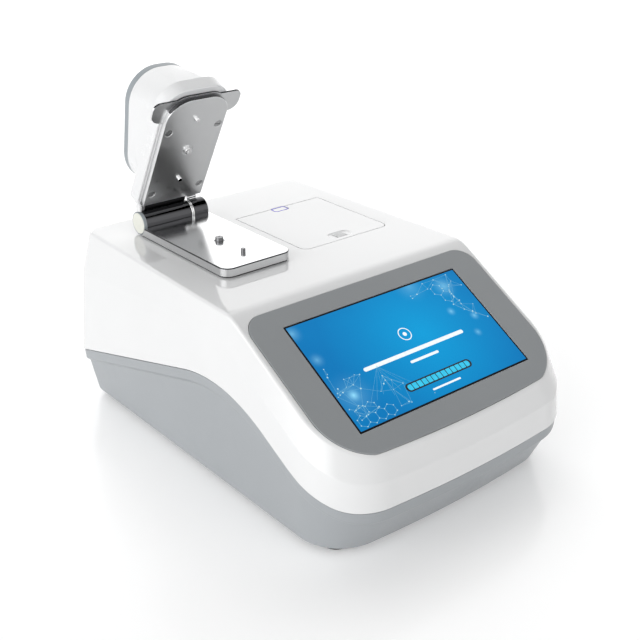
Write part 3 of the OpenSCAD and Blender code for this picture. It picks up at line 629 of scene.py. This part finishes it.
# ------------------------------------------------------------ housing
def shell():
    outer = body_solid("shell_skin", [(0, 9.0, 0), (0, 0, 0), (1, 0, 0), (2, 0, 0), (2, 1.6, 0)], [2.6, 0.8, 0.4])
    inner = body_solid("inner", [(0, SHELL_T, -SHELL_T), (1, SHELL_T, 0), (2, SHELL_T, 1.5), (2, SHELL_T, -12)])
    lid_hole = round_rect((LID_X1 - LID_X0) / 2 + 0.45, LID_Y0 - 0.45, LID_Y1, 6.45, 0.8)
    notch = round_rect(6.9, LID_PIN_Y, LID_Y1 + 1.3, 0.5, 2.6)
    cutters = [
        inner,
        mouth("recess", lambda g=0.0: bezel_outline(g - 0.2), -BEZEL_T + 0.3, 0.0, ON_SCREEN, lip=0.5, over=8),
        prism("window", round_rect(85, -52.5, 52.5, 2, 2), -20, 20, ON_SCREEN),
        mouth("lid_hole", moved(lid_hole, LID_CX, 0), TOP_Z - 10, TOP_Z, lip=0.3),
        mouth("notch", moved(notch, LID_CX, 0), TOP_Z - 10, TOP_Z, lip=0.25),
        prism("pedestal_hole", moved(disc(12), 0, -SPOT_R), 120, 150, ON_STATION),
        prism("rear_hole", round_rect(REAR_W / 2, -REAR_H / 2, REAR_H / 2, 3, 3), -10, 20,
              place(0, Y_BACK, REAR_Z) @ FACING_BACK),
    ]
    cutters += [prism("screw_hole", moved(disc(1.7, 24), x, -r), 120, 150, ON_STATION)
                for x in (-22, 22) for r in (22, 106)]
    vents = [prism("vent", slot_outline(3, 14), -5, 5, place(i * 8, Y_BACK, 119) @ FACING_BACK)
             for i in range(-9, 10)]
    boolean(outer, cutters + [joined("vents", vents)])
    return piece(outer, "housing", WHITE, "shell_white", "upper_shell")


def tray():
    outer = body_solid("tray_skin", [(2, 4, -0.75), (2, 0.6, -0.75), (3, 0, 0), (4, 0, 0), (5, 0, 0), (5, 5, 0)],
                       [0.4, 0.9, 1.2, 2.6])
    inner = body_solid("inner", [(2, TRAY_T + 2, 6), (4, TRAY_T, 0), (5, TRAY_T, TRAY_T)])
    holes = [prism("hole", disc(1.6, 24), -5, 30, place(x, y, 0)) for x, y in FEET_XY]
    slots = [prism("slot", slot_outline(4, 60), -5, 10, place(i * 9, 10, 0)) for i in range(-7, 8)]
    boolean(outer, [inner, joined("holes", holes), joined("slots", slots)])
    posts = [tube("post", [(1.6, FOOT_H + 1), (5.5, FOOT_H + 1), (5.5, FOOT_H + h), (1.6, FOOT_H + h)],
                  place(x, y, 0), 0.3, 32)
             for (x, y), h in zip(FEET_XY, (16, 30, 16, 30))]
    return piece(joined("tray_skin", [outer] + posts), "housing", GREY_TRAY, "tray_grey", "base_tray")


def feet():
    profile = [(1.7, 1.6), (3.4, 1.6), (3.4, 0.5), (4.4, 0.0), (5.4, 0.0), (5.8, 0.5), (6.2, 0.5), (6.6, 0.0),
               (10.0, 0.0), (10.4, 0.5), (10.4, FOOT_H - 0.02), (1.7, FOOT_H - 0.02)]
    all_four = [tube("foot", profile, place(x, y, 0), 0.25, 48) for x, y in FEET_XY]
    piece(joined("rubber_feet", all_four), "housing", RUBBER, "rubber_black", "feet")


def screen():
    surround = prism("screen_surround", bezel_outline, -BEZEL_T + 0.4, 0.4, ON_SCREEN, high=0.45)
    boolean(surround, [mouth("opening", screen_window(1.4), -4, 0.4, ON_SCREEN, lip=0.3)])
    piece(surround, "housing", GREY_PANEL, "panel_grey", "front_panel")
    glass = prism("display_glass", screen_window(1.2), -1.5, 0.2, ON_SCREEN, high=0.3)
    piece(glass, "housing", DISPLAY, "screen_glass", "touch_glass")


def on_display(u, v):
    """Millimetres from the display's middle, from shares of its width and height."""
    return (u - 0.5) * LCD_W, (v - 0.5) * LCD_H


class Picture:
    """Flat shapes on the display."""

    def __init__(self, name, material):
        self.name, self.material, self.points, self.faces = name, material, [], []

    def polygon(self, outline, level):
        first = len(self.points)
        n = len(outline)
        self.points += [(x, y, level) for x, y in outline] + [(x, y, level - 0.03) for x, y in outline]
        self.faces.append(tuple(range(first, first + n)))
        self.faces.append(tuple(reversed(range(first + n, first + 2 * n))))
        self.faces += [(first + i, first + n + i, first + n + (i + 1) % n, first + (i + 1) % n) for i in range(n)]

    def dot(self, x, y, r):
        self.polygon(arc(x, y, r, 0, 337.5, 15), 0.26)

    def line(self, a, b, width):
        along = (Vector(b) - Vector(a)).normalized() * width / 2
        side = Vector((-along.y, along.x))
        ends = [Vector(a) - side, Vector(b) - side, Vector(b) + side, Vector(a) + side]
        self.polygon([tuple(p) for p in ends], 0.24)

    def bar(self, u, v, length, height, level=0.26):
        r = height / 2
        outline = round_rect(length / 2, -r, r, r - 0.01, r - 0.01, 8)
        self.polygon(moved(outline, *on_display(u, v))(), level)

    def done(self):
        obj = as_mesh(self.name, self.points, self.faces, ON_SCREEN)
        return piece(obj, "housing", self.material, "screen_glass")


def start_picture():
    """A plain start-up picture: a net of dots and lines in two corners, hexagons, blank bars, a progress bar."""
    draw = random.Random(7)
    lines, dots = Picture("display_net", UI_LINE), Picture("display_dots", UI_PALE)
    edge_x, edge_y = LCD_W / 2 - 1.2, LCD_H / 2 - 1.2

    def inside(p):
        return abs(p[0]) < edge_x and abs(p[1]) < edge_y

    def corner_net(side, count, reach_x, reach_y, link):
        points = []
        while len(points) < count:
            u, v = draw.random(), draw.random()
            if u + v < 1.05:
                points.append((side * (edge_x - u * reach_x), side * (edge_y - v * reach_y)))
        for i, a in enumerate(points):
            dots.dot(*a, draw.uniform(0.28, 0.62))
            near = sorted(points[i + 1:], key=lambda b: math.dist(a, b))[:3]
            for b in near:
                if math.dist(a, b) < link:
                    lines.line(a, b, 0.16)
        return points

    def hexagons(cells, cx, cy, size):
        for q, r in cells:
            mx, my = cx + size * 1.732 * (q + r / 2), cy + size * 1.5 * r
            ring = [(mx + size * math.sin(math.radians(60 * i)), my + size * math.cos(math.radians(60 * i)))
                    for i in range(6)]
            for i in range(6):
                a, b = ring[i], ring[(i + 1) % 6]
                if inside(a) and inside(b):
                    lines.line(a, b, 0.26)
                    dots.dot(*a, 0.42)

    corner_net(-1, 34, 68, 62, 15)
    corner_net(1, 24, 58, 46, 15)
    hexagons([(0, 0), (1, 0), (2, 0), (3, 0), (0, 1), (1, 1), (-1, 1)], -edge_x + 5.5, -edge_y + 4.5, 4.4)
    hexagons([(0, 0), (1, -1)], edge_x - 24, edge_y - 10, 5.0)
    fan = on_display(0.27, 0.43)
    for k in range(7):
        lines.line(fan, on_display(0.12 + 0.045 * k, 0.16 + 0.02 * (k % 3)), 0.13)
    dots.dot(*fan, 0.7)
    lines.done()
    dots.done()

    blank = Picture("display_bars", UI_WHITE)
    blank.bar(0.5, 0.44, 92, 3.0)
    blank.bar(0.52, 0.355, 26, 2.0)
    blank.bar(0.525, 0.075, 26, 1.4)
    mark, sides = on_display(0.51, 0.6), 60
    ring_outer, ring_inner = (arc(*mark, r, 0, 360 - 360 / sides, sides - 1) for r in (5.2, 4.5))
    for i in range(sides):
        j = (i + 1) % sides
        blank.polygon([ring_outer[i], ring_outer[j], ring_inner[j], ring_inner[i]], 0.26)
    blank.dot(*mark, 1.6)
    blank.done()

    progress = (0.52, 0.165)
    dark = Picture("progress_frame", UI_DARK)
    dark.bar(*progress, 60.5, 6.6, 0.25)
    dark.done()
    cells = Picture("progress_cells", UI_CYAN)
    count, length = 13, 57.6
    step = length / count
    middle = on_display(*progress)
    for i in range(count):
        x = middle[0] - length / 2 + step * (i + 0.5)
        ends = 1.9 if i in (0, count - 1) else 0.35
        side = -1 if i == 0 else 1
        half = step / 2 - 0.32
        shape = round_rect(2.25, -half, half, 0.35, ends, 6)()
        cells.polygon([(x + side * py, middle[1] + px) for px, py in shape], 0.28)
    cells.done()


FAR_END = 92  # the free end of the arm starts this far from the hinge


def paint_dark_edge_reflections(obj, axis, toward=None):
    """Painted reflection: the rounded edges round a flat face take the dark steel, standing in for dark surroundings
    reflected there; with toward, the walls at that end do too.
    """
    # the dark steel added here is a painted reflection, not a finish of the plate
    obj.data.materials.append(DARK_STEEL_AND_EDGE_REFLECTION)
    start = (ON_ARM.translation * MM).dot(toward or axis)
    for polygon in obj.data.polygons:
        level = polygon.normal.dot(axis)
        if toward is None:
            dark = 0.12 < level < 0.97
        else:
            dark = abs(level) < 0.8 and polygon.normal.dot(toward) > 0.45
            dark = dark and polygon.center.dot(toward) - start > FAR_END * MM
        if dark:
            polygon.material_index = 1
    return obj


def base_axis(x):
    """On the hinge axis at x from the arm's middle, with the local z along the axis; stays with the base."""
    return ON_STATION @ place(x, 0, HINGE_Z) @ ALONG_X


def station():
    plate = prism("lower_plate", plate_outline(), TOP_Z + 1.2, PLATE_TOP, ON_STATION, low=0.3, high=0.85, steps=5)
    cutters = [
        rod("bore", BARREL_R + 0.4, 0, 56, base_axis(-40), 0),
        rod("seat", BARREL_R, 0, 20, base_axis(15), 0),
        prism("pedestal_hole", moved(disc(4.02), 0, -SPOT_R), 120, 160, ON_STATION),
        prism("post_hole", moved(disc(1.77), 0, -POST_R), 120, 160, ON_STATION),
    ]
    # painted reflection: the base plate's rounded edges are drawn in dark steel
    paint_dark_edge_reflections(piece(boolean(plate, cutters), "housing", PLATE_STEEL, "polished_steel", "base_plate", flat=UP), UP)
    top = PLATE_TOP + PEDESTAL_H
    pedestal = lathe("lower_tip", [(0, PLATE_TOP - 12), (4, PLATE_TOP - 12), (4, PLATE_TOP - 0.03),
                                   (3, PLATE_TOP - 0.03), (3, top), (0.6, top), (0.6, top - 0.4),
                                   (0, top - 0.4)], ON_STATION @ place(0, -SPOT_R, 0), 0.22)
    # the dark pin steel on the pedestal and post is a painted reflection
    piece(pedestal, "housing", PIN_STEEL_PAINTED_DARK, "polished_steel", "lower_pedestal")
    post = rod("lower_post", 1.75, PLATE_TOP - 4.5, top + 0.1, ON_STATION @ place(0, -POST_R, 0), 0.4)
    piece(post, "housing", PIN_STEEL_PAINTED_DARK, "polished_steel", "locating_post")


def arm_axis(x):
    """On the hinge axis at x from the arm's middle, with the local z along the axis; turns with the arm."""
    return ON_ARM @ place(x, 0, 0) @ ALONG_X


def hinge():
    short = rod("short_knuckle", BARREL_R, 0, 12.9, base_axis(16), 0.6)
    boolean(short, [rod("bore", 3, -1, 10, base_axis(16), 0)])
    piece(short, "housing", DARK_STEEL_AND_EDGE_REFLECTION, "polished_steel", "base_knuckle")
    rings = [tube("ring", [(3, 0), (BARREL_R + 0.25, 0), (BARREL_R + 0.25, 0.9), (3, 0.9)], base_axis(x), 0.3)
             for x in (13.7, 15.0)]
    piece(joined("bright_rings", rings), "housing", BRIGHT, "bright_ring", "hinge_rings")
    upright = ON_STATION @ place(18.2, 3.0, HINGE_Z + 5)
    stalk = rod("pin_stalk", 1.2, -0.8, 3.9, upright, 0.2, 32)
    bar = rod("stop_bar", 1.4, -1.4, 6.6, upright @ place(0, 0, 4.9) @ ALONG_X, 0.45, 32)
    piece(boolean(bar, [stalk], "UNION"), "housing", STEEL, "polished_steel", "stop_pin")

    long = rod("long_knuckle", BARREL_R, 0, 39.9, arm_axis(-26.5), 0.5)
    web = prism("web", round_rect(18, -14, -1, 0.5, 0.5, 3), FACE_D, 8.4, ON_ARM @ place(-6, 0, 0), low=0.3, high=0.3)
    bore = rod("bore", 3.02, -2, 44, arm_axis(-26.5), 0)
    boolean(long, [web], "UNION")
    piece(boolean(long, [bore]), "arm", DARK_STEEL_AND_EDGE_REFLECTION, "polished_steel", "arm_knuckle")
    rim = tube("cap_rim", [(BARREL_R - 0.7, 0), (BARREL_R + 0.1, 0), (BARREL_R + 0.1, 2.5), (BARREL_R - 0.7, 2.5)],
               arm_axis(-29), 0.22)
    piece(rim, "arm", RING_GREY, "panel_grey", "cap_ring")
    cap = rod("cap_disc", BARREL_R - 0.75, 0, 2.3, arm_axis(-29.3), 0.35)
    piece(cap, "arm", IVORY, "cap_ivory", "end_cap")


# ------------------------------------------------------------ arm
SCREWS = [(x, -r) for x in (-21, 21) for r in (25, 85)]


def knuckle_room(low, high):
    """Cutters that clear the long knuckle and its web."""
    return [rod("bore", BARREL_R + 0.3, 0, 60, arm_axis(-30), 0),
            prism("web_room", round_rect(18.1, -14.1, 0, 0.3, 0.3, 2), low, high, ON_ARM @ place(-6, 0, 0))]


def arm_face():
    plate = prism("upper_plate", arm_outline(), FACE_D, FACE_BACK, ON_ARM, low=0.6, high=0.2, steps=5)
    under = ON_ARM @ place(rx=math.pi)
    front = -FACE_D

    def hole(name, r, y, depth=None):
        back = -12 if depth is None else front - depth
        return mouth(name, moved(disc(r), 0, -y), back, front, under, lip=0.25)

    cutters = [
        *knuckle_room(FACE_D - 1, 12),
        hole("tip_hole", 3.05, -SPOT_R), hole("tip_well", 4.6, -SPOT_R, 0.5),
        hole("pin_hole", 1.62, -SHORT_PIN_R), hole("pin_hole", 1.62, -POST_R),
    ]
    for x, y in SCREWS:
        at = under @ place(x, 0, 0)
        cutters.append(prism("screw_hole", moved(disc(1.5, 32), 0, -y), -12, front, at))
        cutters.append(mouth("screw_well", moved(disc(3.0), 0, -y), front - 1.6, front, at, lip=0.3))
    face = piece(boolean(plate, cutters), "arm", ARM_STEEL, "polished_steel", "arm_plate", flat=ARM_UP)
    # painted reflection: the face's rounded edges and the walls at its free end are drawn in dark steel
    paint_dark_edge_reflections(face, ARM_UP, ARM_END)

    heads = []
    for n, (x, y) in enumerate(SCREWS):
        at = ON_ARM @ place(x, y, FACE_D + 0.15)
        head = lathe("head", [(0, 0), (2.85, 0), (2.85, 1.45), (1.45, 1.45), (1.45, 10), (0, 10)], at, 0.25, 40)
        slot = prism("slot", round_rect(4, -0.4, 0.4, 0.05, 0.05, 1), -1, 0.7, at @ place(rz=math.radians(35 + 50 * n)))
        heads.append(boolean(head, [slot]))
    piece(joined("face_screws", heads), "arm", SCREW_STEEL, "polished_steel", "arm_screws", flat=ARM_UP)
    pins = [rod("pin", 1.6, 0, TIP_H + 4.1,
                ON_ARM @ place(0, -r, FACE_D - TIP_H - 0.1), 0.3, 40) for r in (SHORT_PIN_R, POST_R)]
    piece(joined("face_pins", pins), "arm", BRIGHT, "polished_steel", "arm_pins")

    low = FACE_D - TIP_H
    tip = lathe("upper_tip", [(0, low + 0.4), (0.5, low + 0.4), (0.5, low), (2.9, low), (2.9, FACE_D + 0.9),
                              (3, FACE_D + 0.9), (3, 7.2), (5, 7.2), (5, 9.2), (2.3, 9.2), (2.3, 24), (0, 24)],
                ON_ARM @ place(0, -SPOT_R, 0), 0.2)
    piece(tip, "measuring_head", BRIGHT, "polished_steel", "upper_pedestal")


def wing_outline(g=0.0):
    """Plate outline with a rounded ear on each side near the free end."""
    ear_near, ear_far, reach = -93, -111, 37
    hw, near, far = ARM_HW + 1 - g, ear_near - g, ear_far + g
    top, corner = -113.6 + g, 18 - g
    half = [(hw, -14.5 - g), (hw, near + 1.2), (hw + 0.35, near + 0.35), (hw + 1.2, near)]
    half += arc(reach - 8.5, ear_near - 8.5, 8.5 - g, 90, 0, 10)
    half += arc(reach - 5.5, ear_far + 5.5, 5.5 - g, 0, -90, 10)
    turn = math.degrees(math.asin((top + corner - far) / corner))
    half += arc(hw - corner, top + corner, corner, -turn, -90, 12)
    return [(-x, y) for x, y in reversed(half)][:-1] + [(-half[0][0], half[0][1])] + half


def wings():
    plate = prism("wing_sheet", wing_outline, FACE_BACK, WING_BACK, ON_ARM, low=0.35, high=0.35, steps=3)
    holes = [prism("hole", moved(disc(r), x, -y), 5, 12, ON_ARM)
             for x, y, r in [(0, SPOT_R, TIP_ROOM), (0, SHORT_PIN_R, 1.7), (0, POST_R, 1.7)]
             + [(x, -y, 1.7) for x, y in SCREWS]]
    sheet = piece(boolean(plate, [joined("holes", holes)]), "arm", ARM_STEEL, "polished_steel", "wing_plate",
                  flat=ARM_UP)
    # painted reflection: the wing's rounded edges and the walls at its free end are drawn in dark steel
    paint_dark_edge_reflections(sheet, ARM_UP, ARM_END)


def rim_outline():
    return mirrored(round_rect(28.5, 9, 118, 5, 19, 18))


def slab():
    body = prism("rim_slab", rim_outline(), WING_BACK, SLAB_BACK, ON_ARM, low=0.9, high=0.25, steps=5)
    pocket = prism("pocket", mirrored(round_rect(24, 34, 106, 8, 12)), 10.5, 25, ON_ARM)
    tip_hole = prism("tip_hole", moved(disc(TIP_ROOM), 0, -SPOT_R), 0, 20, ON_ARM)
    boolean(body, [pocket, tip_hole, *knuckle_room(0, 8.6)])
    shape = [(-16, 9), (-9, 9), (-6.4, 6.6), (-9.5, 2.5), (-13, 4)]
    loops = [[(x, y, z) for y, z in shape] for x in (-28.5, -27.1)]
    cheek = skin("cheek", loops, ON_ARM)
    piece(joined("rim_slab", [body, cheek]), "arm", HEAD_WHITE, "shell_white", "arm_rim")


def head_outline(g=0.0):
    return round_rect(28.3, -45.7, 46.2, 24.8, 28.0, 16)(g)


def head_loops(g, levels):
    """Sections of the head from its foot on the slab to its tilted rear face; bulge is 0 at both ends."""
    foot = mirrored(round_rect(28.3, 22, 115.6, 20, 18.6, 16))(g)
    foot = [Vector((x, y, SLAB_BACK)) for x, y in foot]
    lift = place(0, HEAD_Y, HEAD_W, rx=HEAD_TILT)
    face = [lift @ Vector((x, y, 0)) for x, y in head_outline(g)]
    start = min(range(len(face)), key=lambda i: (face[i] - foot[0]).length)
    face = face[start:] + face[:start]
    middle = sum(foot, Vector()) / len(foot)
    top = sum(face, Vector()) / len(face)
    loops = []
    for s, bulge in levels:
        centre = middle.lerp(top, s)
        loops.append([centre + (a.lerp(b, s) - centre) * (1 + bulge) for a, b in zip(foot, face)])
    return loops


def head():
    levels = [(s / 20, 0.008 * math.sin(math.pi * s / 20)) for s in range(0, 20)] + [(0.992, 0.0), (1.0, -0.008)]
    outer, inner = head_loops(0, levels), head_loops(2.4, [(1.0, 0), (0.5, 0.008), (0.0, 0.0)])
    wall = skin("head_skin", outer + inner + outer[:1], ON_ARM, closed=False)
    piece(wall, "arm", HEAD_WHITE, "shell_white", "head_shell", angle=50)
    ring = prism("head_rim", head_outline, 0.15, RING_T, ON_HEAD, low=0.2, high=0.7)
    seat = prism("seat", lambda g=0.0: head_outline(g + 2.8), 3, 8, ON_HEAD)
    open_middle = prism("middle", lambda g=0.0: head_outline(g + 5.2), -2, 8, ON_HEAD)
    piece(boolean(ring, [seat, open_middle]), "arm", RING_GREY, "tray_grey", "head_ring")
    cap = prism("head_lid", lambda g=0.0: head_outline(g + 3.0), 3, 6.2, ON_HEAD, high=1.2, steps=5)
    piece(cap, "arm", HEAD_WHITE, "shell_white", "head_cap")


# ------------------------------------------------------------ cuvette lid
def lid():
    cover = prism("lid_cover", moved(round_rect((LID_X1 - LID_X0) / 2, LID_Y0, LID_Y1 - 0.5, 6, 0.8), LID_CX, 0),
                  TOP_Z - LID_T, TOP_Z, high=0.35, low=0.1)

    def grip(g=0.0):
        return arc(LID_CX + 5.6, GRIP_Y, 4.5 - g, -90, 90, 16) + arc(LID_CX - 5.6, GRIP_Y, 4.5 - g, 90, 270, 16)

    rings = [(2.2, -0.8), (1.0, -0.76), (0.3, -0.6), (-0.15, -0.36), (-0.5, -0.12), (-0.9, 0.0), (-1.1, 0.6)]
    dish = skin("dish", [[(x, y, TOP_Z + z) for x, y in grip(g)] for g, z in rings])
    notch = moved(round_rect(7.2, LID_PIN_Y - 4.75, LID_Y1 + 3, 2.8, 0.5), LID_CX, 0)
    barrels = [rod("barrel", 1.5, 0, 8, place(x, LID_PIN_Y, LID_PIN_Z) @ ALONG_X, 0.2, 32)
               for x in (LID_X0, LID_X1 - 8)]
    boolean(cover, barrels, "UNION")
    boolean(cover, [dish, mouth("notch", notch, TOP_Z - 5, TOP_Z, lip=0.25)])
    boolean(cover, [rod("pin_hole", 0.8, 0, 6,
                        place(x, LID_PIN_Y, LID_PIN_Z) @ ALONG_X, 0, 24) for x in (LID_X0 - 1, LID_X1 - 5)])
    ridges = [prism("ridge", round_rect(5, -0.5, 0.5, 0.3, 0.3, 4), TOP_Z - 1.8, TOP_Z - 0.25,
                    place(LID_CX, GRIP_Y + i * 1.55, 0), high=0.3) for i in range(-2, 3)]
    boolean(cover, ridges, "UNION")
    piece(cover, "cuvette_lid", LID_WHITE, "shell_white", "lid", flat=UP)

    rim = prism("window_rim", moved(round_rect(6.7, LID_PIN_Y - 4.2, LID_Y1 + 1.1, 2.5, 2.5), LID_CX, 0),
                TOP_Z - 2.6, TOP_Z - 0.1, high=0.2)
    boolean(rim, [prism("middle", moved(round_rect(5.95, LID_PIN_Y - 3.6, LID_Y1 + 0.1, 1.75, 1.75), LID_CX, 0),
                        TOP_Z - 4, TOP_Z + 1)])
    piece(rim, "housing", VIOLET, "violet_window", "latch_window")
    pad = prism("window_pad", moved(round_rect(5.9, LID_PIN_Y - 3.55, LID_Y1 + 0.05, 1.7, 1.7), LID_CX, 0),
                TOP_Z - 2.6, TOP_Z - 0.25, high=0.25)
    piece(pad, "housing", WHITE, "shell_white", "latch_button")


# ------------------------------------------------------------ rear details
def contacts():
    """Gold springs and pins in the sockets, and the four screws of the connector panel."""
    tongues = []
    for z in (SOCKET_Z + 1 + 4.2, SOCKET_Z + 8.7 + 4.2):
        tongues += [prism("spring", round_rect(0.5, -4.5, 4.5, 0.2, 0.2, 3), -0.12, 0.06,
                          place(USB_X + 2.9 + 2.75 * i, PORT_Y - 7, z), high=0.05) for i in range(4)]
    tongues += [prism("wire", round_rect(0.25, -5, 5, 0.1, 0.1, 2), -0.1, 0.1,
                      place(LAN_X + 3.6 + 1.25 * i, PORT_Y - 8, SOCKET_Z + 2.3), high=0.05) for i in range(8)]
    piece(joined("socket_contacts", tongues), "housing", GOLD, "brass_lamp")
    heads = []
    for x in (-REAR_W / 2 + 6, REAR_W / 2 - 6):
        for z in (REAR_Z - 14, REAR_Z + 14):
            at = place(x, PORT_Y - 0.02, z) @ FACING_BACK
            head = lathe("head", [(0, -0.4), (2.6, -0.4), (2.6, 0.5), (1.6, 1.2), (0, 1.2)], at, 0.3, 40)
            cross = [prism("cross", round_rect(1.5, -0.28, 0.28, 0.05, 0.05, 1), 0.5, 2, at @ place(rz=a))
                     for a in (0.4, 0.4 + math.pi / 2)]
            heads.append(boolean(head, cross))
    piece(joined("panel_screws", heads), "housing", ALUMINIUM, "bare_aluminium")


# ------------------------------------------------------------ carried-over CAD nodes
CARRIED = {
    ALUMINIUM: ["foot_screws", "lcd_module", "lcd_bracket", "plate_screws", "hinge_shaft", "usb_host", "usb_device",
                "lan_port", "path_actuator", "lid_pins"],
    RUBBER: ["plate_gasket"],
    ANODISED: ["optics_block", "spectrometer", "cuvette_holder"],
    BRASS: ["lamp_module", "cuvette_source"],
    BOARD: ["cuvette_detector", "main_board", "io_board", "head_board"],
    ORANGE: ["optic_fibre"],
    FRAME: ["lid_frame", "board_posts"],
    GREY_PANEL: ["rear_panel"],
    BLACK: ["dc_inlet", "switch_frame", "rocker"],
}


def carry():
    """CAD nodes that stay: their own shapes with softened edges and a finish."""
    for material, names in CARRIED.items():
        for name in names:
            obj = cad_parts[name]
            obj.data.materials.clear()
            obj.data.materials.append(material)
            for polygon in obj.data.polygons:
                polygon.material_index = 0
            weld = obj.modifiers.new("weld", "WELD")
            weld.merge_threshold = 1e-6
            soft = obj.modifiers.new("soft", "BEVEL")
            soft.width, soft.segments, soft.limit_method = 0.00022, 2, "ANGLE"
            soft.angle_limit = math.radians(40)
            soft.harden_normals = False


# ------------------------------------------------------------ stage
def floor():
    g = Graph("floor_paint")
    cloud = g.noise(3.0, 3.0)
    g.wire("Base Color", g.mix(g.spread(cloud, 0.3, 0.7, 0.0, 1.0), (0.9, 0.9, 0.9, 1), (0.93, 0.93, 0.93, 1)))
    g.wire("Roughness", g.spread(g.noise(300.0, 2.0), 0.3, 0.7, 0.15, 0.2))
    g.fixed(Emission_Color=(1, 1, 1, 1), Emission_Strength=0.16, IOR=1.4)
    size = 6000.0
    ground = as_mesh("floor", [(-size, -size, 0), (size, -size, 0), (size, size, 0), (-size, size, 0)], [(0, 1, 2, 3)])
    ground.data.materials.append(g.material)


# soft boxes of the surrounding light: direction, cosines where each starts and is full, strength
BASE_LIGHT = 0.69
SOFT_BOXES = [((-1.0, -0.05, -0.04), 0.62, 0.95, 3.2), ((0.6, 0.66, 0.45), 0.55, 0.92, 1.3),
              ((0.1, -1.0, 0.1), 0.5, 0.9, 0.56), ((0.56, -0.1, 0.82), 0.74, 0.95, -0.86),
              ((-0.6, -0.1, 0.8), 0.72, 0.95, -0.22)]


def sky(tree):
    """A pale surround with broad soft boxes, which light every view alike."""
    nodes = Nodes(tree)
    way = nodes.add("ShaderNodeTexCoord").outputs["Generated"]
    total = None
    for direction, start, full, strength in SOFT_BOXES:
        toward = {0: way, 1: Vector(direction).normalized()}
        dot = nodes.add("ShaderNodeVectorMath", toward, operation="DOT_PRODUCT").outputs["Value"]
        base = BASE_LIGHT if total is None else 0.0
        ramp = {"Value": dot, "From Min": start, "From Max": full, "To Min": base, "To Max": strength + base}
        light = nodes.add("ShaderNodeMapRange", ramp, interpolation_type="SMOOTHSTEP").outputs[0]
        if total is None:
            total = light
        else:
            total = nodes.add("ShaderNodeMath", {0: total, 1: light}, operation="ADD").outputs[0]
    tree.links.new(total, tree.nodes["Background"].inputs["Strength"])
    tree.nodes["Background"].inputs["Color"].default_value = (1.0, 1.0, 1.0, 1)


def stage():
    floor()
    world = bpy.data.worlds.new("studio")
    bpy.context.scene.world = world
    world.use_nodes = True
    sky(world.node_tree)
    bpy.context.scene.view_settings.view_transform = "Standard"

    camera = bpy.data.cameras.new("camera")
    camera.lens, camera.sensor_width = 60.82, 36
    obj = linked("camera", camera)
    obj.location = (-0.4623, -0.5558, 0.4325)
    obj.rotation_euler = (math.radians(64.702), 0, math.radians(-39.734))
    bpy.context.scene.camera = obj


shell()
tray()
feet()
screen()
start_picture()
station()
hinge()
arm_face()
wings()
slab()
head()
lid()
contacts()
carry()
stage()
